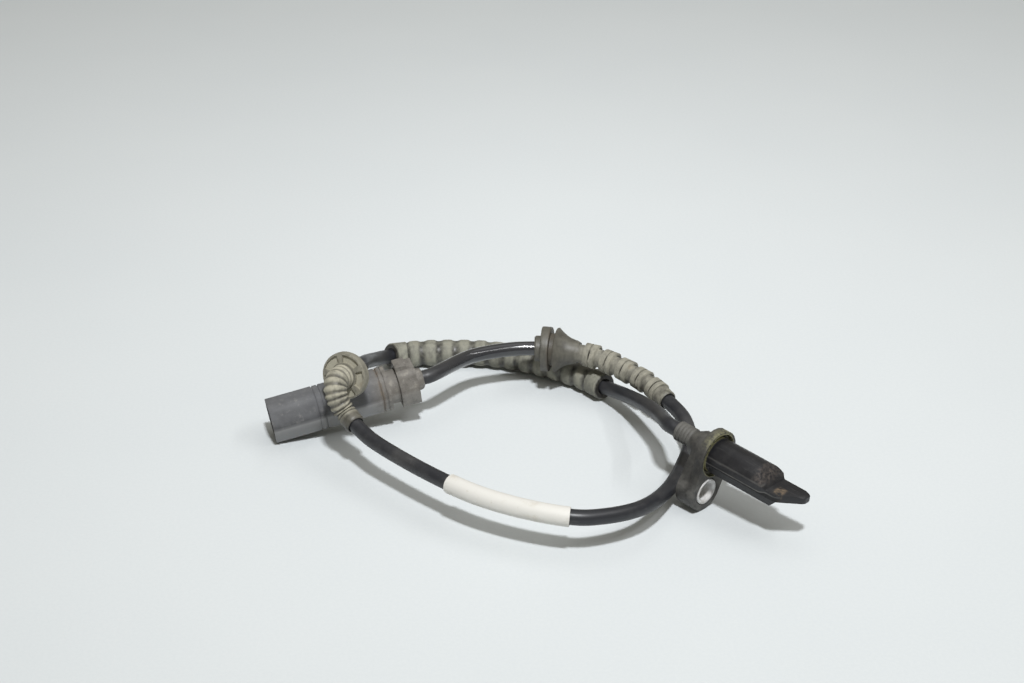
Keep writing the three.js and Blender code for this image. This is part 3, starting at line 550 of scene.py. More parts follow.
POCKET_STEPS = 12


def panel_profile():
    """Neck, rimmed disc, tapering rings and cup of the panel grommet."""
    outer_end = PANEL_TAIL_END + PANEL_CUP
    outer = [
        (PANEL_FROM, PANEL_NECK_RADIUS - EDGE),
        (PANEL_FROM + EDGE, PANEL_NECK_RADIUS),
        (PANEL_DISC_REAR, PANEL_NECK_RADIUS),
        (PANEL_DISC_REAR, PANEL_DISC - EDGE),
        (PANEL_DISC_REAR + EDGE / 2, PANEL_DISC - EDGE / 6),
        (PANEL_DISC_REAR + EDGE, PANEL_DISC),
        (PANEL_DISC_FRONT - EDGE, PANEL_DISC),
        (PANEL_DISC_FRONT - EDGE / 4, PANEL_DISC - EDGE / 4),
        (PANEL_DISC_FRONT, PANEL_DISC - EDGE),
        (PANEL_DISC_FRONT, PANEL_TAIL_WIDE + EDGE / 2)]
    for ring in range(PANEL_RINGS):
        share = ring / (PANEL_RINGS - 1)
        crest = PANEL_TAIL_WIDE + (PANEL_TAIL_NARROW - PANEL_TAIL_WIDE) * share
        outer += [
            (PANEL_DISC_FRONT + PANEL_PITCH * (ring + along),
             crest - PANEL_RING_DEEP * (1 - height))
            for along, height in RING_SHAPE]
    outer += [
        (PANEL_TAIL_END, PANEL_TAIL_NARROW - PANEL_RING_DEEP),
        (PANEL_TAIL_END + EDGE, PANEL_TAIL_NARROW),
        (outer_end - 2 * EDGE, PANEL_TAIL_NARROW)]
    outer += [
        (outer_end - back * MM, PANEL_TAIL_NARROW - drop * MM) for back, drop in CUP_CHAMFER]
    return closed_on_bore(outer)


def pocket_tool(turn):
    """Sector between two spokes, as a wedge cut out of a spun ring."""
    inner = PANEL_TAIL_WIDE + EDGE * 0.8
    outer = PANEL_DISC - PANEL_RIM
    tool = one_point("pocket", (PANEL_DISC_FRONT - PANEL_SINK, 0, inner))
    bpy.ops.mesh.extrude_vertices_move(TRANSFORM_OT_translate={"value": (0, 0, outer - inner)})
    bpy.ops.mesh.select_all(action="SELECT")
    bpy.ops.mesh.extrude_edges_move(TRANSFORM_OT_translate={"value": (PANEL_SINK + MM / 2, 0, 0)})
    bpy.ops.mesh.select_all(action="SELECT")
    bpy.ops.mesh.spin(
        steps=POCKET_STEPS, angle=2 * math.pi / PANEL_SPOKES - PANEL_SPOKE_ANGLE,
        center=(0, 0, 0), axis=(1, 0, 0))
    bpy.ops.mesh.select_all(action="SELECT")
    bpy.ops.mesh.remove_doubles(threshold=MERGE_DISTANCE)
    bpy.ops.mesh.select_all(action="SELECT")
    bpy.ops.mesh.fill_holes(sides=0)
    bpy.ops.mesh.normals_make_consistent(inside=False)
    bpy.ops.object.mode_set(mode="OBJECT")
    tool.rotation_euler = (turn, 0, 0)
    bpy.ops.object.transform_apply(location=False, rotation=True, scale=False)
    return tool


panel = spun("panel_rubber", panel_profile())
cut_by(panel, [
    pocket_tool(PANEL_ROLL + spoke * 2 * math.pi / PANEL_SPOKES)
    for spoke in range(PANEL_SPOKES)])
bend_onto_cable(panel)
print("panel grommet faces", len(panel.data.polygons))

# %% [markdown]
# Bracket grommet.
# This grommet snaps into a bracket. Its flange has a groove for the bracket's edge, and a
# trumpet runs out into a tail of stepped blocks, notched on two sides so that it can bend.
# The steps are drawn in the profile. The notches and slits go only part of the way round, so
# boxes cut them out while the piece is straight.

# %% Bracket grommet
BRACKET_FROM = 428.7 * MM
BRACKET_CUP = 4.6 * MM
BRACKET_BLOCKS = 5
BRACKET_PITCH = 7.1 * MM
BRACKET_CUP_RADIUS = 3.4 * MM
BRACKET_ROOT = 4.2 * MM
BRACKET_CORE = 3.05 * MM
NOTCH = 2.2 * MM
SLIT = 0.5 * MM
SLIT_AT = 2.15 * MM
RING_CUT = 0.4 * MM
RECESS = 0.5 * MM
LIP = 0.15 * MM
CORNER = 0.15 * MM
NOTCH_MARGIN = 0.3 * MM
TRUMPET = 8 * MM
TRUMPET_STEPS = 8
FLARE = 2.2
FLANGE_RADIUS = 7.8 * MM
GROOVE_RADIUS = 5.7 * MM
GROOVE_WIDTH = 1.8 * MM
FLANGE_THICK = 3.4 * MM
COLLAR = 2.4 * MM
COLLAR_RADIUS = 4.5 * MM
BRACKET_ROLL = math.radians(84)
TAIL_STEP = 0.3 * MM
BLOCKS_FROM = BRACKET_FROM + BRACKET_CUP
BLOCKS_TO = BLOCKS_FROM + BRACKET_BLOCKS * BRACKET_PITCH
TRUMPET_TO = BLOCKS_TO + TRUMPET
GROOVE_TO = TRUMPET_TO + GROOVE_WIDTH


def bracket_profile():
    """Cup, stepped blocks, trumpet, bracket groove, flange and collar."""
    flange_to = GROOVE_TO + FLANGE_THICK
    end = flange_to + COLLAR
    outer = [
        (BRACKET_FROM, BRACKET_CUP_RADIUS - TAIL_STEP),
        (BRACKET_FROM + EDGE, BRACKET_CUP_RADIUS),
        (BLOCKS_FROM, BRACKET_CUP_RADIUS)]
    for block in range(BRACKET_BLOCKS):
        share = (block + 1) / BRACKET_BLOCKS
        wide = BRACKET_CUP_RADIUS + TAIL_STEP
        wide += (BRACKET_ROOT - wide) * share
        start = BLOCKS_FROM + block * BRACKET_PITCH
        slit = start + SLIT_AT
        recess_to = start + BRACKET_PITCH - NOTCH_MARGIN
        recess_from = recess_to - NOTCH
        outer += [
            (start, wide - CORNER),
            (start + CORNER, wide + LIP),
            (slit - 2 * CORNER, wide),
            (slit - CORNER, wide - RING_CUT),
            (slit + CORNER, wide - RING_CUT),
            (slit + 2 * CORNER, wide),
            (recess_from - CORNER, wide - CORNER / 2),
            (recess_from, wide - RECESS),
            (recess_to, wide - RECESS)]
    for step in range(1, TRUMPET_STEPS + 1):
        share = step / TRUMPET_STEPS
        flare = BRACKET_ROOT + (FLANGE_RADIUS - BRACKET_ROOT) * share ** FLARE
        outer.append((BLOCKS_TO + share * (TRUMPET - EDGE), flare))
    outer += [
        (TRUMPET_TO - EDGE / 4, FLANGE_RADIUS - EDGE / 4),
        (TRUMPET_TO, FLANGE_RADIUS - EDGE),
        (TRUMPET_TO, GROOVE_RADIUS),
        (GROOVE_TO, GROOVE_RADIUS),
        (GROOVE_TO, FLANGE_RADIUS - EDGE),
        (GROOVE_TO + EDGE / 4, FLANGE_RADIUS - EDGE / 4),
        (GROOVE_TO + EDGE, FLANGE_RADIUS),
        (flange_to - EDGE, FLANGE_RADIUS),
        (flange_to - EDGE / 4, FLANGE_RADIUS - EDGE / 4),
        (flange_to, FLANGE_RADIUS - EDGE),
        (flange_to, COLLAR_RADIUS),
        (end - EDGE, COLLAR_RADIUS),
        (end, COLLAR_RADIUS - EDGE)]
    return closed_on_bore(outer)


def bracket_tools():
    """A pair of notches and a pair of slits for each block."""
    reach = BRACKET_ROOT + MM
    tools = []
    for block in range(1, BRACKET_BLOCKS + 1):
        block_to = BLOCKS_FROM + block * BRACKET_PITCH
        notch_at = block_to - NOTCH / 2 - NOTCH_MARGIN
        slit_at = block_to - BRACKET_PITCH + SLIT_AT
        for hand in (0, math.pi):
            tools.append(box_tool(
                (notch_at - NOTCH / 2, BRACKET_CORE, -reach),
                (notch_at + NOTCH / 2, 2 * reach, reach), BRACKET_ROLL + hand))
            tools.append(box_tool(
                (slit_at - SLIT / 2, -reach, BRACKET_CORE),
                (slit_at + SLIT / 2, reach, 2 * reach), BRACKET_ROLL + hand))
    return tools


bracket = spun("bracket_rubber", bracket_profile())
cut_by(bracket, bracket_tools())
bend_onto_cable(bracket)
print("bracket grommet faces", len(bracket.data.polygons))

# %% [markdown]
# Marker sleeve.
# The marker is a length of thin white film shrunk round the cable. A thicker copy of the
# cable's curve could stand for it, but a spun tube has real ends with a wall.

# %% Marker sleeve
MARKER_FROM = 288.9 * MM
MARKER_LENGTH = 41.5 * MM
MARKER_WALL = 0.35 * MM
MARKER_EDGE = 0.1 * MM
MARKER_TO = MARKER_FROM + MARKER_LENGTH
marker_outer = BORE + MARKER_WALL
marker_lip = BORE + MARKER_WALL * 0.7
marker = spun("marker_film", closed_on_bore([
    (MARKER_FROM, marker_lip),
    (MARKER_FROM + MARKER_EDGE, marker_outer),
    (MARKER_TO - MARKER_EDGE, marker_outer),
    (MARKER_TO, marker_lip)]))
bend_onto_cable(marker)
print("marker faces", len(marker.data.polygons))

# %% [markdown]
# Moulded pieces with soft edges.
# A moulded edge is never knife sharp: it has a small radius that catches the light. Modelling
# each piece again would be double work, and the solids' own meshes stay as they are. So a
# copy of each is merged, its flat faces are joined again and a narrow bevel rounds the edges.
# The root of the hub also gets a fillet, spun as the rubber pieces were.

# %% Soft-edged copies
FLAT_ANGLE = math.radians(0.6)


def soft_copy(node, width):
    """Merged copy of a solid with narrow rounded edges."""
    piece = bpy.data.objects.new(node + "_moulding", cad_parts[node].data.copy())
    bpy.context.collection.objects.link(piece)
    piece.data.materials.clear()
    only(piece)
    bpy.ops.object.mode_set(mode="EDIT")
    bpy.ops.mesh.select_all(action="SELECT")
    bpy.ops.mesh.remove_doubles(threshold=MERGE_DISTANCE)
    bpy.ops.mesh.dissolve_limited(angle_limit=FLAT_ANGLE)
    bpy.ops.object.mode_set(mode="OBJECT")
    soften(piece, width)
    bpy.ops.object.shade_smooth_by_angle(angle=SMOOTH_ANGLE)
    return piece


print("soft copy helper ready")

# %% Fillet behind the flange
FILLET_SHAPE = (
    (-2.75, 5.2), (-2.75, 6.6), (-3.05, 6.6), (-3.25, 6.1), (-3.6, 5.7), (-4.2, 5.42),
    (-4.2, 5.2))


def hub_fillet():
    """Rounded root of the hub, from distances along the head's axis and radii in mm."""
    ring = spun("hub_fillet", [(along * MM, radius * MM) for along, radius in FILLET_SHAPE])
    ring.matrix_world = head_place
    only(ring)
    bpy.ops.object.transform_apply(location=True, rotation=True, scale=True)
    bpy.ops.object.shade_smooth_by_angle(angle=SMOOTH_ANGLE)
    return ring


print("fillet helper ready")

# %% [markdown]
# Cable jacket.
# The jacket is smooth black plastic that has picked up a thin grey film. A low roughness all
# over would look like lacquer, so the film keeps it middling. One stretch that has been wiped
# clean gets a glossy coat as well, which carries the long white highlight.

# %% Finish of the cable jacket
JACKET_BLACK = (35, 36, 40)
JACKET_DUST = (92, 90, 87)
WIPED_ACROSS = (-0.105, -0.048)
WIPED_FADE = 0.006
WIPED_BEHIND = (0.06, 0.066)
WIPED_ABOVE = (0.009, 0.012)
COAT_ROUGHNESS = 0.12


def jacket_finish():
    finish = Finish("cable_jacket")
    place = finish.place()
    grain = finish.noise(place, 1500, 4)
    film = finish.noise(place, 70, 5, 0.65)
    marks = finish.noise(finish.stretched(place, (1, 1, 3)), 260, 6, 0.7)
    dust = film.between(0.45, 0.75) * 0.35 + marks.between(0.58, 0.72) * 0.3
    across, deep, high = finish.parts(place)
    wiped = across.band(*WIPED_ACROSS, WIPED_FADE) * deep.between(*WIPED_BEHIND)
    wiped = wiped * high.between(*WIPED_ABOVE)
    dust = dust * (1 - 0.8 * wiped)
    colour = finish.mix(dust, tone(*JACKET_BLACK), tone(*JACKET_DUST))
    rough = 0.34 + film * 0.14 + dust * 0.25 - wiped * 0.2
    feed(finish.tree, finish.surface.inputs["Coat Weight"], wiped * 0.9)
    finish.surface.inputs["Coat Roughness"].default_value = COAT_ROUGHNESS
    return finish.wear(colour, rough, grain * 0.6 + marks, 0.00003, 0.2)


cable.data.materials.append(jacket_finish())
print("jacket finished")

# %% [markdown]
# Dusty rubber.
# Rubber that has lived behind a wheel holds pale grey-green dust. The colour is paler towards
# the crest radius and darker towards the root, faces that look up get a little more dust, and
# the tail's ring grooves are darkened with painted shade. A painted mask would need an image,
# so this one adds up the distance from the axis, the facing and noise.

# %% Finish of the dusty rubber
RUBBER_DARK = (40, 38, 35)
RUBBER_EARTH = (112, 98, 78)
MARK_FADE = 0.2 * MM
INSIDE_TAIL = (4.6 * MM, 4.3 * MM)


def rubber_finish(name, root, crest, pale, clean=None, rim=None, pocket=None, rings=None,
                  lip=None):
    """Dark at the root radius and pale at the crest radius. clean is where the dust fades out
    along the piece, rim the radii over which a face is wiped, pocket a dusty ring-shaped
    hollow, rings the start, pitch and end of grooves in painted shade, and lip a stretch with
    earth."""
    finish = Finish(name)
    place = finish.place()
    along, side, up = finish.parts(finish.form())
    radius = (side * side + up * up) ** 0.5
    rise = radius.between(root, crest)
    clouds = finish.noise(place, 170, 5, 0.7)
    grit = finish.noise(place, 1300, 3, 0.6)
    smears = finish.noise(finish.stretched(place, (1, 1, 0.5)), 420, 5, 0.7)
    facing = finish.upward().between(-0.8, 0.6)
    dust = rise * 0.75 + facing * 0.14 + (clouds - 0.5) * 1.2 + (smears - 0.5) * 1.5
    dust = dust.between(0.12, 1.0)
    if clean is not None:
        dust = dust * (1 - 0.7 * along.between(*clean))
    if rings is not None:
        start, pitch, end = rings
        # Painted shade: the tail's ring grooves are darkened by taking dust out of them.
        phase = along.maths("FRACT", (along - start) / pitch)
        groove = phase.between(0.3, 0.12) + phase.between(0.78, 0.92)
        groove = groove * along.between(end + MARK_FADE, end) * radius.between(*INSIDE_TAIL)
        dust = dust * (1 - 0.5 * groove)
    if rim is not None:
        dust = dust * (1 - 0.4 * radius.between(*rim))
    if pocket is not None:
        low, high, inner, outer = pocket
        hollow = along.band(low, high, MARK_FADE) * radius.band(inner, outer, MARK_FADE)
        dust = dust.maths("MAXIMUM", dust, hollow * (0.75 + clouds * 0.4))
    earth = clouds.between(0.55, 0.72) * smears.between(0.45, 0.6)
    if lip is not None:
        soiled = along.band(*lip, 0.3 * MM) * smears.between(0.3, 0.5)
        earth = earth.maths("MAXIMUM", earth, soiled)
    film = finish.mix(earth * 0.55, tone(*pale), tone(*RUBBER_EARTH))
    colour = finish.mix(dust, tone(*RUBBER_DARK), film)
    rough = 0.36 + dust * 0.54
    return finish.wear(colour, rough, grit * 0.6 + smears + clouds * 1.5, 0.00012, 0.45)


print("rubber finish ready")

# %% [markdown]
# White film.
# The marker's film has a few brown stains. One noise would spread them evenly, so a broad
# noise makes the stains and a fine one makes the spots.

# %% Finish of the marker film
FILM_WHITE = (206, 204, 198)
FILM_SOIL = (160, 148, 124)


def film_finish():
    finish = Finish("white_film")
    place = finish.place()
    stains = finish.noise(place, 120, 6, 0.7)
    spots = finish.noise(place, 620, 3)
    soil = stains.between(0.56, 0.74) * 0.4 + spots.between(0.66, 0.74) * 0.35
    colour = finish.mix(soil, tone(*FILM_WHITE), tone(*FILM_SOIL))
    return finish.wear(colour, 0.5 + stains * 0.2, stains, 0.0002, 0.25)


print("film finish ready")

# %% [markdown]
# Sensing body.
# The body is hard, slightly glossy black plastic with scratches along it, a rubbed brown
# patch before the nose and a crust of earth at its seat. On the near side the lips beside its
# groove are worn grey and carry a painted highlight, a thin painted highlight runs higher up
# the side, and the groove is darkened with painted shade. An image could hold these marks,
# but it would blur close by. Here each mark is a band in the head's own coordinates, broken
# up by noise, so it stays sharp and on the edge it belongs to.

# %% Finish of the sensing body
BODY_BLACK = (24, 24, 27)
BODY_FILM = (92, 91, 90)
LIP_WEAR_AND_HIGHLIGHT_GREY = (120, 118, 114)
GROOVE_PAINTED_SHADE = (9, 9, 10)
RUBBED_BROWN = (100, 90, 82)
EARTH_BROWN = (132, 112, 86)
CRUST_YELLOW = (156, 152, 112)
NEAR_SIDE = (-0.0030, -0.0040)
RUBBED_ALONG = (0.0186, 0.0212)
RUBBED_UP = (0.001, 0.003)
EARTH_ALONG = (0.0247, 0.0270)
EARTH_SIDE = (-0.0032, -0.0004)
CRUST_ALONG = (-0.004, -0.0006)
LOWER_LIP = (-0.0021, -0.0019)
MIDDLE_LIP = (-0.0002, 0.0001)
UPPER_PAINTED_HIGHLIGHT = (0.0019, 0.0022)
GROOVE_BETWEEN = (-0.0017, -0.0004)


def body_finish():
    finish = Finish("black_plastic")
    place = finish.local(HEAD_AT, HEAD_TURN)
    along, side, up = finish.parts(place)
    grain = finish.noise(place, 1400, 3)
    film = finish.noise(place, 140, 5, 0.65)
    scratches = finish.noise(finish.stretched(place, (30, 420, 420)), 4, 5, 0.75)
    near = side.between(*NEAR_SIDE)
    crumbs = finish.noise(place, 900, 5, 0.75)
    rubbed = along.band(*RUBBED_ALONG, 0.0018) * crumbs.between(0.44, 0.68)
    rubbed = rubbed * up.between(*RUBBED_UP)
    # Worn grey lips beside the groove, with a painted highlight along their edges.
    lips_wear_and_highlight = near * (up.band(*MIDDLE_LIP, 0.00012) + up.band(*LOWER_LIP, 0.00012))
    # Painted highlight: a thin pale streak higher up the near side.
    lips_wear_and_highlight = lips_wear_and_highlight + up.band(*UPPER_PAINTED_HIGHLIGHT, 0.0002) * near * 0.4
    lips_wear_and_highlight = lips_wear_and_highlight * film.between(0.35, 0.6)
    # Painted shade: the groove on the near side is darkened.
    groove = near * up.band(*GROOVE_BETWEEN, 0.00005)
    earth = along.band(*EARTH_ALONG, 0.0009) * side.band(*EARTH_SIDE, 0.0010)
    earth = earth * finish.noise(place, 700, 5).between(0.4, 0.6)
    ring = along.band(*CRUST_ALONG, 0.0005) * crumbs.between(0.3, 0.46)
    dust = film.between(0.52, 0.8) * 0.16 + scratches.between(0.6, 0.7) * 0.3
    colour = finish.mix(dust, tone(*BODY_BLACK), tone(*BODY_FILM))
    colour = finish.mix(lips_wear_and_highlight * 0.5, colour, tone(*LIP_WEAR_AND_HIGHLIGHT_GREY))
    colour = finish.mix(groove * 0.85, colour, tone(*GROOVE_PAINTED_SHADE))
    colour = finish.mix(rubbed * 0.6, colour, tone(*RUBBED_BROWN))
    colour = finish.mix(earth * 0.5, colour, tone(*EARTH_BROWN))
    colour = finish.mix(ring * 0.8, colour, tone(*CRUST_YELLOW))
    rough = 0.27 + film * 0.2 + (rubbed + earth + ring + lips_wear_and_highlight + groove) * 0.3
    return finish.wear(colour, rough, grain + scratches * 2 + ring * 3, 0.0001, 0.4)


print("body finish ready")

# %% [markdown]
# Flange.
# The flange and its lug are duller plastic under a rubbed-in grey film, so the film follows
# noise more than facing. The lug is also painted lighter, as if lit. The crust on the rim is
# placed in the head's coordinates, as the body's marks are, and it raises the bump where it
# lies.

# %% Finish of the flange
FLANGE_DARK = (38, 37, 36)
FLANGE_DUST = (92, 90, 84)
RELIEF_GREY = (112, 111, 107)
LUG_PAINTED_LIGHT = (126, 125, 122)
CRUST_GREEN = (150, 147, 108)
RELIEF_FROM = (-0.0100, -0.0102)
RELIEF_RADII = (0.0030, 0.0034)
FACE_ALONG = (-0.0022, -0.0008)
SEAT_RADII = (0.0066, 0.0072)
LUG_DOWN = (-0.0060, -0.0090)
LOBE_ALONG = (-0.003, 0)
LOBE_UP = (0.0045, 0.0065)


def flange_finish():
    finish = Finish("flange_plastic")
    place = finish.local(HEAD_AT, HEAD_TURN)
    along, side, up = finish.parts(place)
    radius = (side * side + up * up) ** 0.5
    grit = finish.noise(place, 1200, 4)
    clouds = finish.noise(place, 190, 6, 0.7)
    facing = finish.upward().between(-0.5, 0.9)
    dust = (facing * 0.2 + (clouds - 0.5) * 1.6 + 0.32).between(0.2, 1.0)
    rings = along.between(*RELIEF_FROM) * radius.between(*RELIEF_RADII)
    crumbs = finish.noise(place, 800, 5, 0.7)
    earth = along.between(*FACE_ALONG) * radius.band(*SEAT_RADII, 0.0004)
    earth = earth * crumbs.between(0.34, 0.5)
    lobe = along.between(*LOBE_ALONG) * up.between(*LOBE_UP) * crumbs.between(0.4, 0.55)
    crust = earth + lobe * 0.6
    crust = crust.maths("MINIMUM", crust, 1)
    # Painted light: the lug is made lighter, as if lit.
    lug_painted_light = up.between(*LUG_DOWN) * clouds.between(0.3, 0.6)
    colour = finish.mix(dust, tone(*FLANGE_DARK), tone(*FLANGE_DUST))
    colour = finish.mix(rings * 0.3, colour, tone(*RELIEF_GREY))
    colour = finish.mix(lug_painted_light * 0.35, colour, tone(*LUG_PAINTED_LIGHT))
    colour = finish.mix(crust * 0.8, colour, tone(*CRUST_GREEN))
    height = grit + clouds * 2 + crumbs * earth * 4
    return finish.wear(colour, 0.55 + dust * 0.3, height, 0.00015, 0.5)


print("flange finish ready")

# %% [markdown]
# Connector.
# The plug is smooth grey plastic. On its near side the lower face is painted lighter, as if
# lit, and a line of painted shade runs along the crease above it. Its rear is mottled tan by
# earth. The shell, the cap and the boot could have a finish each, but with one for all three
# the stain runs across their joints.

# %% Finish of the connector
CONNECTOR_DARK = (60, 60, 62)
CONNECTOR_DUST = (106, 107, 109)
LOWER_FACE_PAINTED_LIGHT = (140, 140, 140)
CREASE_PAINTED_SHADE = (72, 72, 73)
REAR_TAN = (118, 112, 102)
REAR_DARK = (72, 68, 64)
REAR_PALE = (150, 145, 134)
SEAM_BROWN = (98, 84, 66)
SMEAR_GREY = (146, 144, 139)
REAR_FROM = (-0.0330, -0.0400)
SEAM_ALONG = (-0.0384, -0.0376)
LOWER_FACE = (0.0006, -0.0006)
CREASE_UP = (-0.0002, 0.0004)
FRONT_SIDE = (0.001, 0.003)


def connector_finish():
    finish = Finish("connector_plastic")
    place = finish.local(CONNECTOR_AT, CONNECTOR_TURN)
    along, side, up = finish.parts(place)
    grit = finish.noise(place, 1200, 4)
    clouds = finish.noise(place, 150, 6, 0.7)
    streaks = finish.noise(finish.stretched(place, (60, 500, 500)), 3, 4, 0.6)
    facing = finish.upward().between(-0.4, 0.9)
    dust = (facing * 0.55 + (clouds - 0.5) * 0.9 + streaks * 0.2).between(0.1, 1.0)
    smears = finish.noise(place, 520, 5, 0.7)
    seam = along.band(*SEAM_ALONG, 0.0003) * smears.between(0.4, 0.55)
    rear = along.between(*REAR_FROM)
    # Painted light: the lower face on the near side is made lighter, as if lit.
    lower_face_painted_light = up.between(*LOWER_FACE) * side.between(*FRONT_SIDE)
    # Painted shade: a darker line along the crease on the near side.
    crease_painted_shade = up.band(*CREASE_UP, 0.0005) * side.between(*FRONT_SIDE)
    mottle = finish.noise(place, 330, 5, 0.75)
    colour = finish.mix(dust, tone(*CONNECTOR_DARK), tone(*CONNECTOR_DUST))
    colour = finish.mix(lower_face_painted_light * 0.75, colour, tone(*LOWER_FACE_PAINTED_LIGHT))
    colour = finish.mix(crease_painted_shade * 0.35, colour, tone(*CREASE_PAINTED_SHADE))
    colour = finish.mix(rear * 0.6, colour, tone(*REAR_TAN))
    colour = finish.mix(rear * mottle.between(0.5, 0.62) * 0.55, colour, tone(*REAR_DARK))
    colour = finish.mix(rear * mottle.between(0.44, 0.34) * 0.4, colour, tone(*REAR_PALE))
    colour = finish.mix(seam * 0.6, colour, tone(*SEAM_BROWN))
    colour = finish.mix(smears.between(0.56, 0.72) * 0.3, colour, tone(*SMEAR_GREY))
    return finish.wear(colour, 0.5 + dust * 0.3, grit + clouds, 0.0001, 0.4)


print("connector finish ready")

# %% [markdown]
# Steel bush.
# The bush is steel whose shine has gone. Full metal would mirror an empty room and look black,
# so it is a pale grey with only a little metal in it, and fine marks.

# %% Finish of the steel bush
STEEL_PALE = (212, 212, 212)
STEEL_TARNISH = (176, 173, 168)


def steel_finish():
    finish = Finish("steel")
    place = finish.place()
    brushed = finish.noise(place, 900, 5, 0.7)
    tarnish = finish.noise(place, 260, 5, 0.7)
    colour = finish.mix(tarnish.between(0.4, 0.7), tone(*STEEL_PALE), tone(*STEEL_TARNISH))
    return finish.wear(colour, 0.65 + tarnish * 0.2, brushed, 0.00004, 0.4, 0.2)


print("steel finish ready")

# %% [markdown]
# Hidden pieces.
# The chip, the magnet, the contacts, the cores, the seal and the carrier can't be seen, but
# someone may open the model. Their solids are right as they are and keep their meshes, so
# each only needs a plain finish.


# %% Plain finishes of the hidden pieces
def plain_finish(name, colour, worn, roughness, metallic=0.0):
    """Two near tones in soft clouds over a fine grain."""
    finish = Finish(name)
    place = finish.place()
    grain = finish.noise(place, 1400, 4)
    clouds = finish.noise(place, 300, 4)
    shade = finish.mix(clouds.between(0.3, 0.7), tone(*colour), tone(*worn))
    return finish.wear(shade, roughness + clouds * 0.1, grain, 0.00004, 0.3, metallic)


HIDDEN_FINISHES = {
    "carrier_plastic": plain_finish("carrier_plastic", (138, 143, 144), (120, 124, 126), 0.45),
    "seal_rubber": plain_finish("seal_rubber", (125, 74, 52), (110, 64, 46), 0.6),
    "tinned_copper": plain_finish("tinned_copper", (185, 180, 166), (160, 150, 132), 0.3, 0.9),
    "magnet_grey": plain_finish("magnet_grey", (85, 86, 90), (70, 71, 76), 0.4, 0.7),
    "chip_black": plain_finish("chip_black", (35, 35, 38), (48, 48, 50), 0.45),
    "core_insulation": plain_finish("core_insulation", (107, 58, 34), (92, 48, 30), 0.4),
}
HIDDEN_NODES = {
    "carrier_plastic": ("contact_carrier", "secondary_lock"),
    "seal_rubber": ("cable_seal",),
    "tinned_copper": (
        "signal_leg", "supply_leg", "signal_crimp", "supply_crimp", "signal_pin", "supply_pin"),
    "magnet_grey": ("back_magnet",),
    "chip_black": ("sensing_chip",),
    "core_insulation": (
        "signal_core_at_head", "supply_core_at_head",
        "signal_core_at_connector", "supply_core_at_connector"),
}
for slot_name, nodes in HIDDEN_NODES.items():
    for node in nodes:
        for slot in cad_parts[node].material_slots:
            slot.material = HIDDEN_FINISHES[slot_name]
print("hidden pieces finished:", sum(len(nodes) for nodes in HIDDEN_NODES.values()))

# %% [markdown]
# Putting the pieces in place.
# Each new piece gets its finish, rides on the one rigid body and stands for its solid. The
# pieces that sit on the cable are listed as well.

# %% Finishes of the rubber pieces and the film
SLEEVE_DUST = (134, 133, 121)
PANEL_DUST = (161, 157, 141)
BRACKET_DUST = (144, 141, 128)
sleeve.data.materials.append(rubber_finish(
    "sleeve_rubber", SLEEVE_ROOT - 0.2 * MM, SLEEVE_CREST, SLEEVE_DUST))
panel.data.materials.append(rubber_finish(
    "panel_rubber", 2.6 * MM, 3.8 * MM, PANEL_DUST,
    clean=(PANEL_TAIL_END - 0.1 * MM, PANEL_TAIL_END + 1.9 * MM),
    rim=(4.2 * MM, 4.8 * MM),
    rings=(PANEL_DISC_FRONT, PANEL_PITCH, PANEL_TAIL_END),
    pocket=(PANEL_DISC_FRONT - 1.1 * MM, PANEL_DISC_FRONT - 0.4 * MM, 4.5 * MM, 7.2 * MM)))
bracket.data.materials.append(rubber_finish(
    "bracket_rubber", 2.8 * MM, 3.8 * MM, BRACKET_DUST,
    clean=(BLOCKS_TO - 5.3 * MM, BLOCKS_TO + 1.7 * MM),
    lip=(TRUMPET_TO - 0.2 * MM, GROOVE_TO + 0.4 * MM)))
marker.data.materials.append(film_finish())
print("rubber pieces and film finished")

# %% New pieces and the solids they stand for
connector_grey = connector_finish()
MOULDED = {
    "sensor_body": (0.25 * MM, body_finish(), "black_plastic"),
    "flange_moulding": (0.3 * MM, flange_finish(), "flange_plastic"),
    "mounting_bush": (0.15 * MM, steel_finish(), "steel"),
    "connector_shell": (0.2 * MM, connector_grey, "connector_plastic"),
    "rear_cap": (0.3 * MM, connector_grey, "connector_plastic"),
    "neck_boot": (0.3 * MM, connector_grey, "connector_plastic"),
}
dressed = [
    (cable, "cable", "cable_jacket"),
    (sleeve, "corrugated_sleeve", "dusty_rubber"),
    (panel, "panel_grommet", "dusty_rubber"),
    (bracket, "bracket_grommet", "dusty_rubber"),
    (marker, "marker_sleeve", "white_film"),
]
for node, (width, finish, slot_name) in MOULDED.items():
    piece = soft_copy(node, width)
    if node == "flange_moulding":
        piece = joined([piece, hub_fillet()])
    piece.data.materials.append(finish)
    dressed.append((piece, node, slot_name))
for piece, node, slot_name in dressed:
    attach(piece, "root")
    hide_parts(node)
print("pieces dressed:", len(dressed))

# %% Pieces that sit on the cable
CORD_NODES = (
    "contact_carrier", "secondary_lock", "cable_seal", "signal_pin", "supply_pin",
    "signal_core_at_connector", "supply_core_at_connector")
on_cable = {
    "corrugated_sleeve", "panel_grommet", "bracket_grommet", "marker_sleeve",
    "connector_shell", "rear_cap", "neck_boot"}
([piece for piece, node, _ in dressed if node in on_cable]
    + [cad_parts[node] for node in CORD_NODES])

# %% [markdown]
# Floor and light.
# A plain pale floor takes the shadow. One fairly small lamp high on the camera's side gives
# the defined shadow edge, a large soft lamp with the world's light fills the rest, and three
# long thin lamps draw the white streak on the shiny cable.

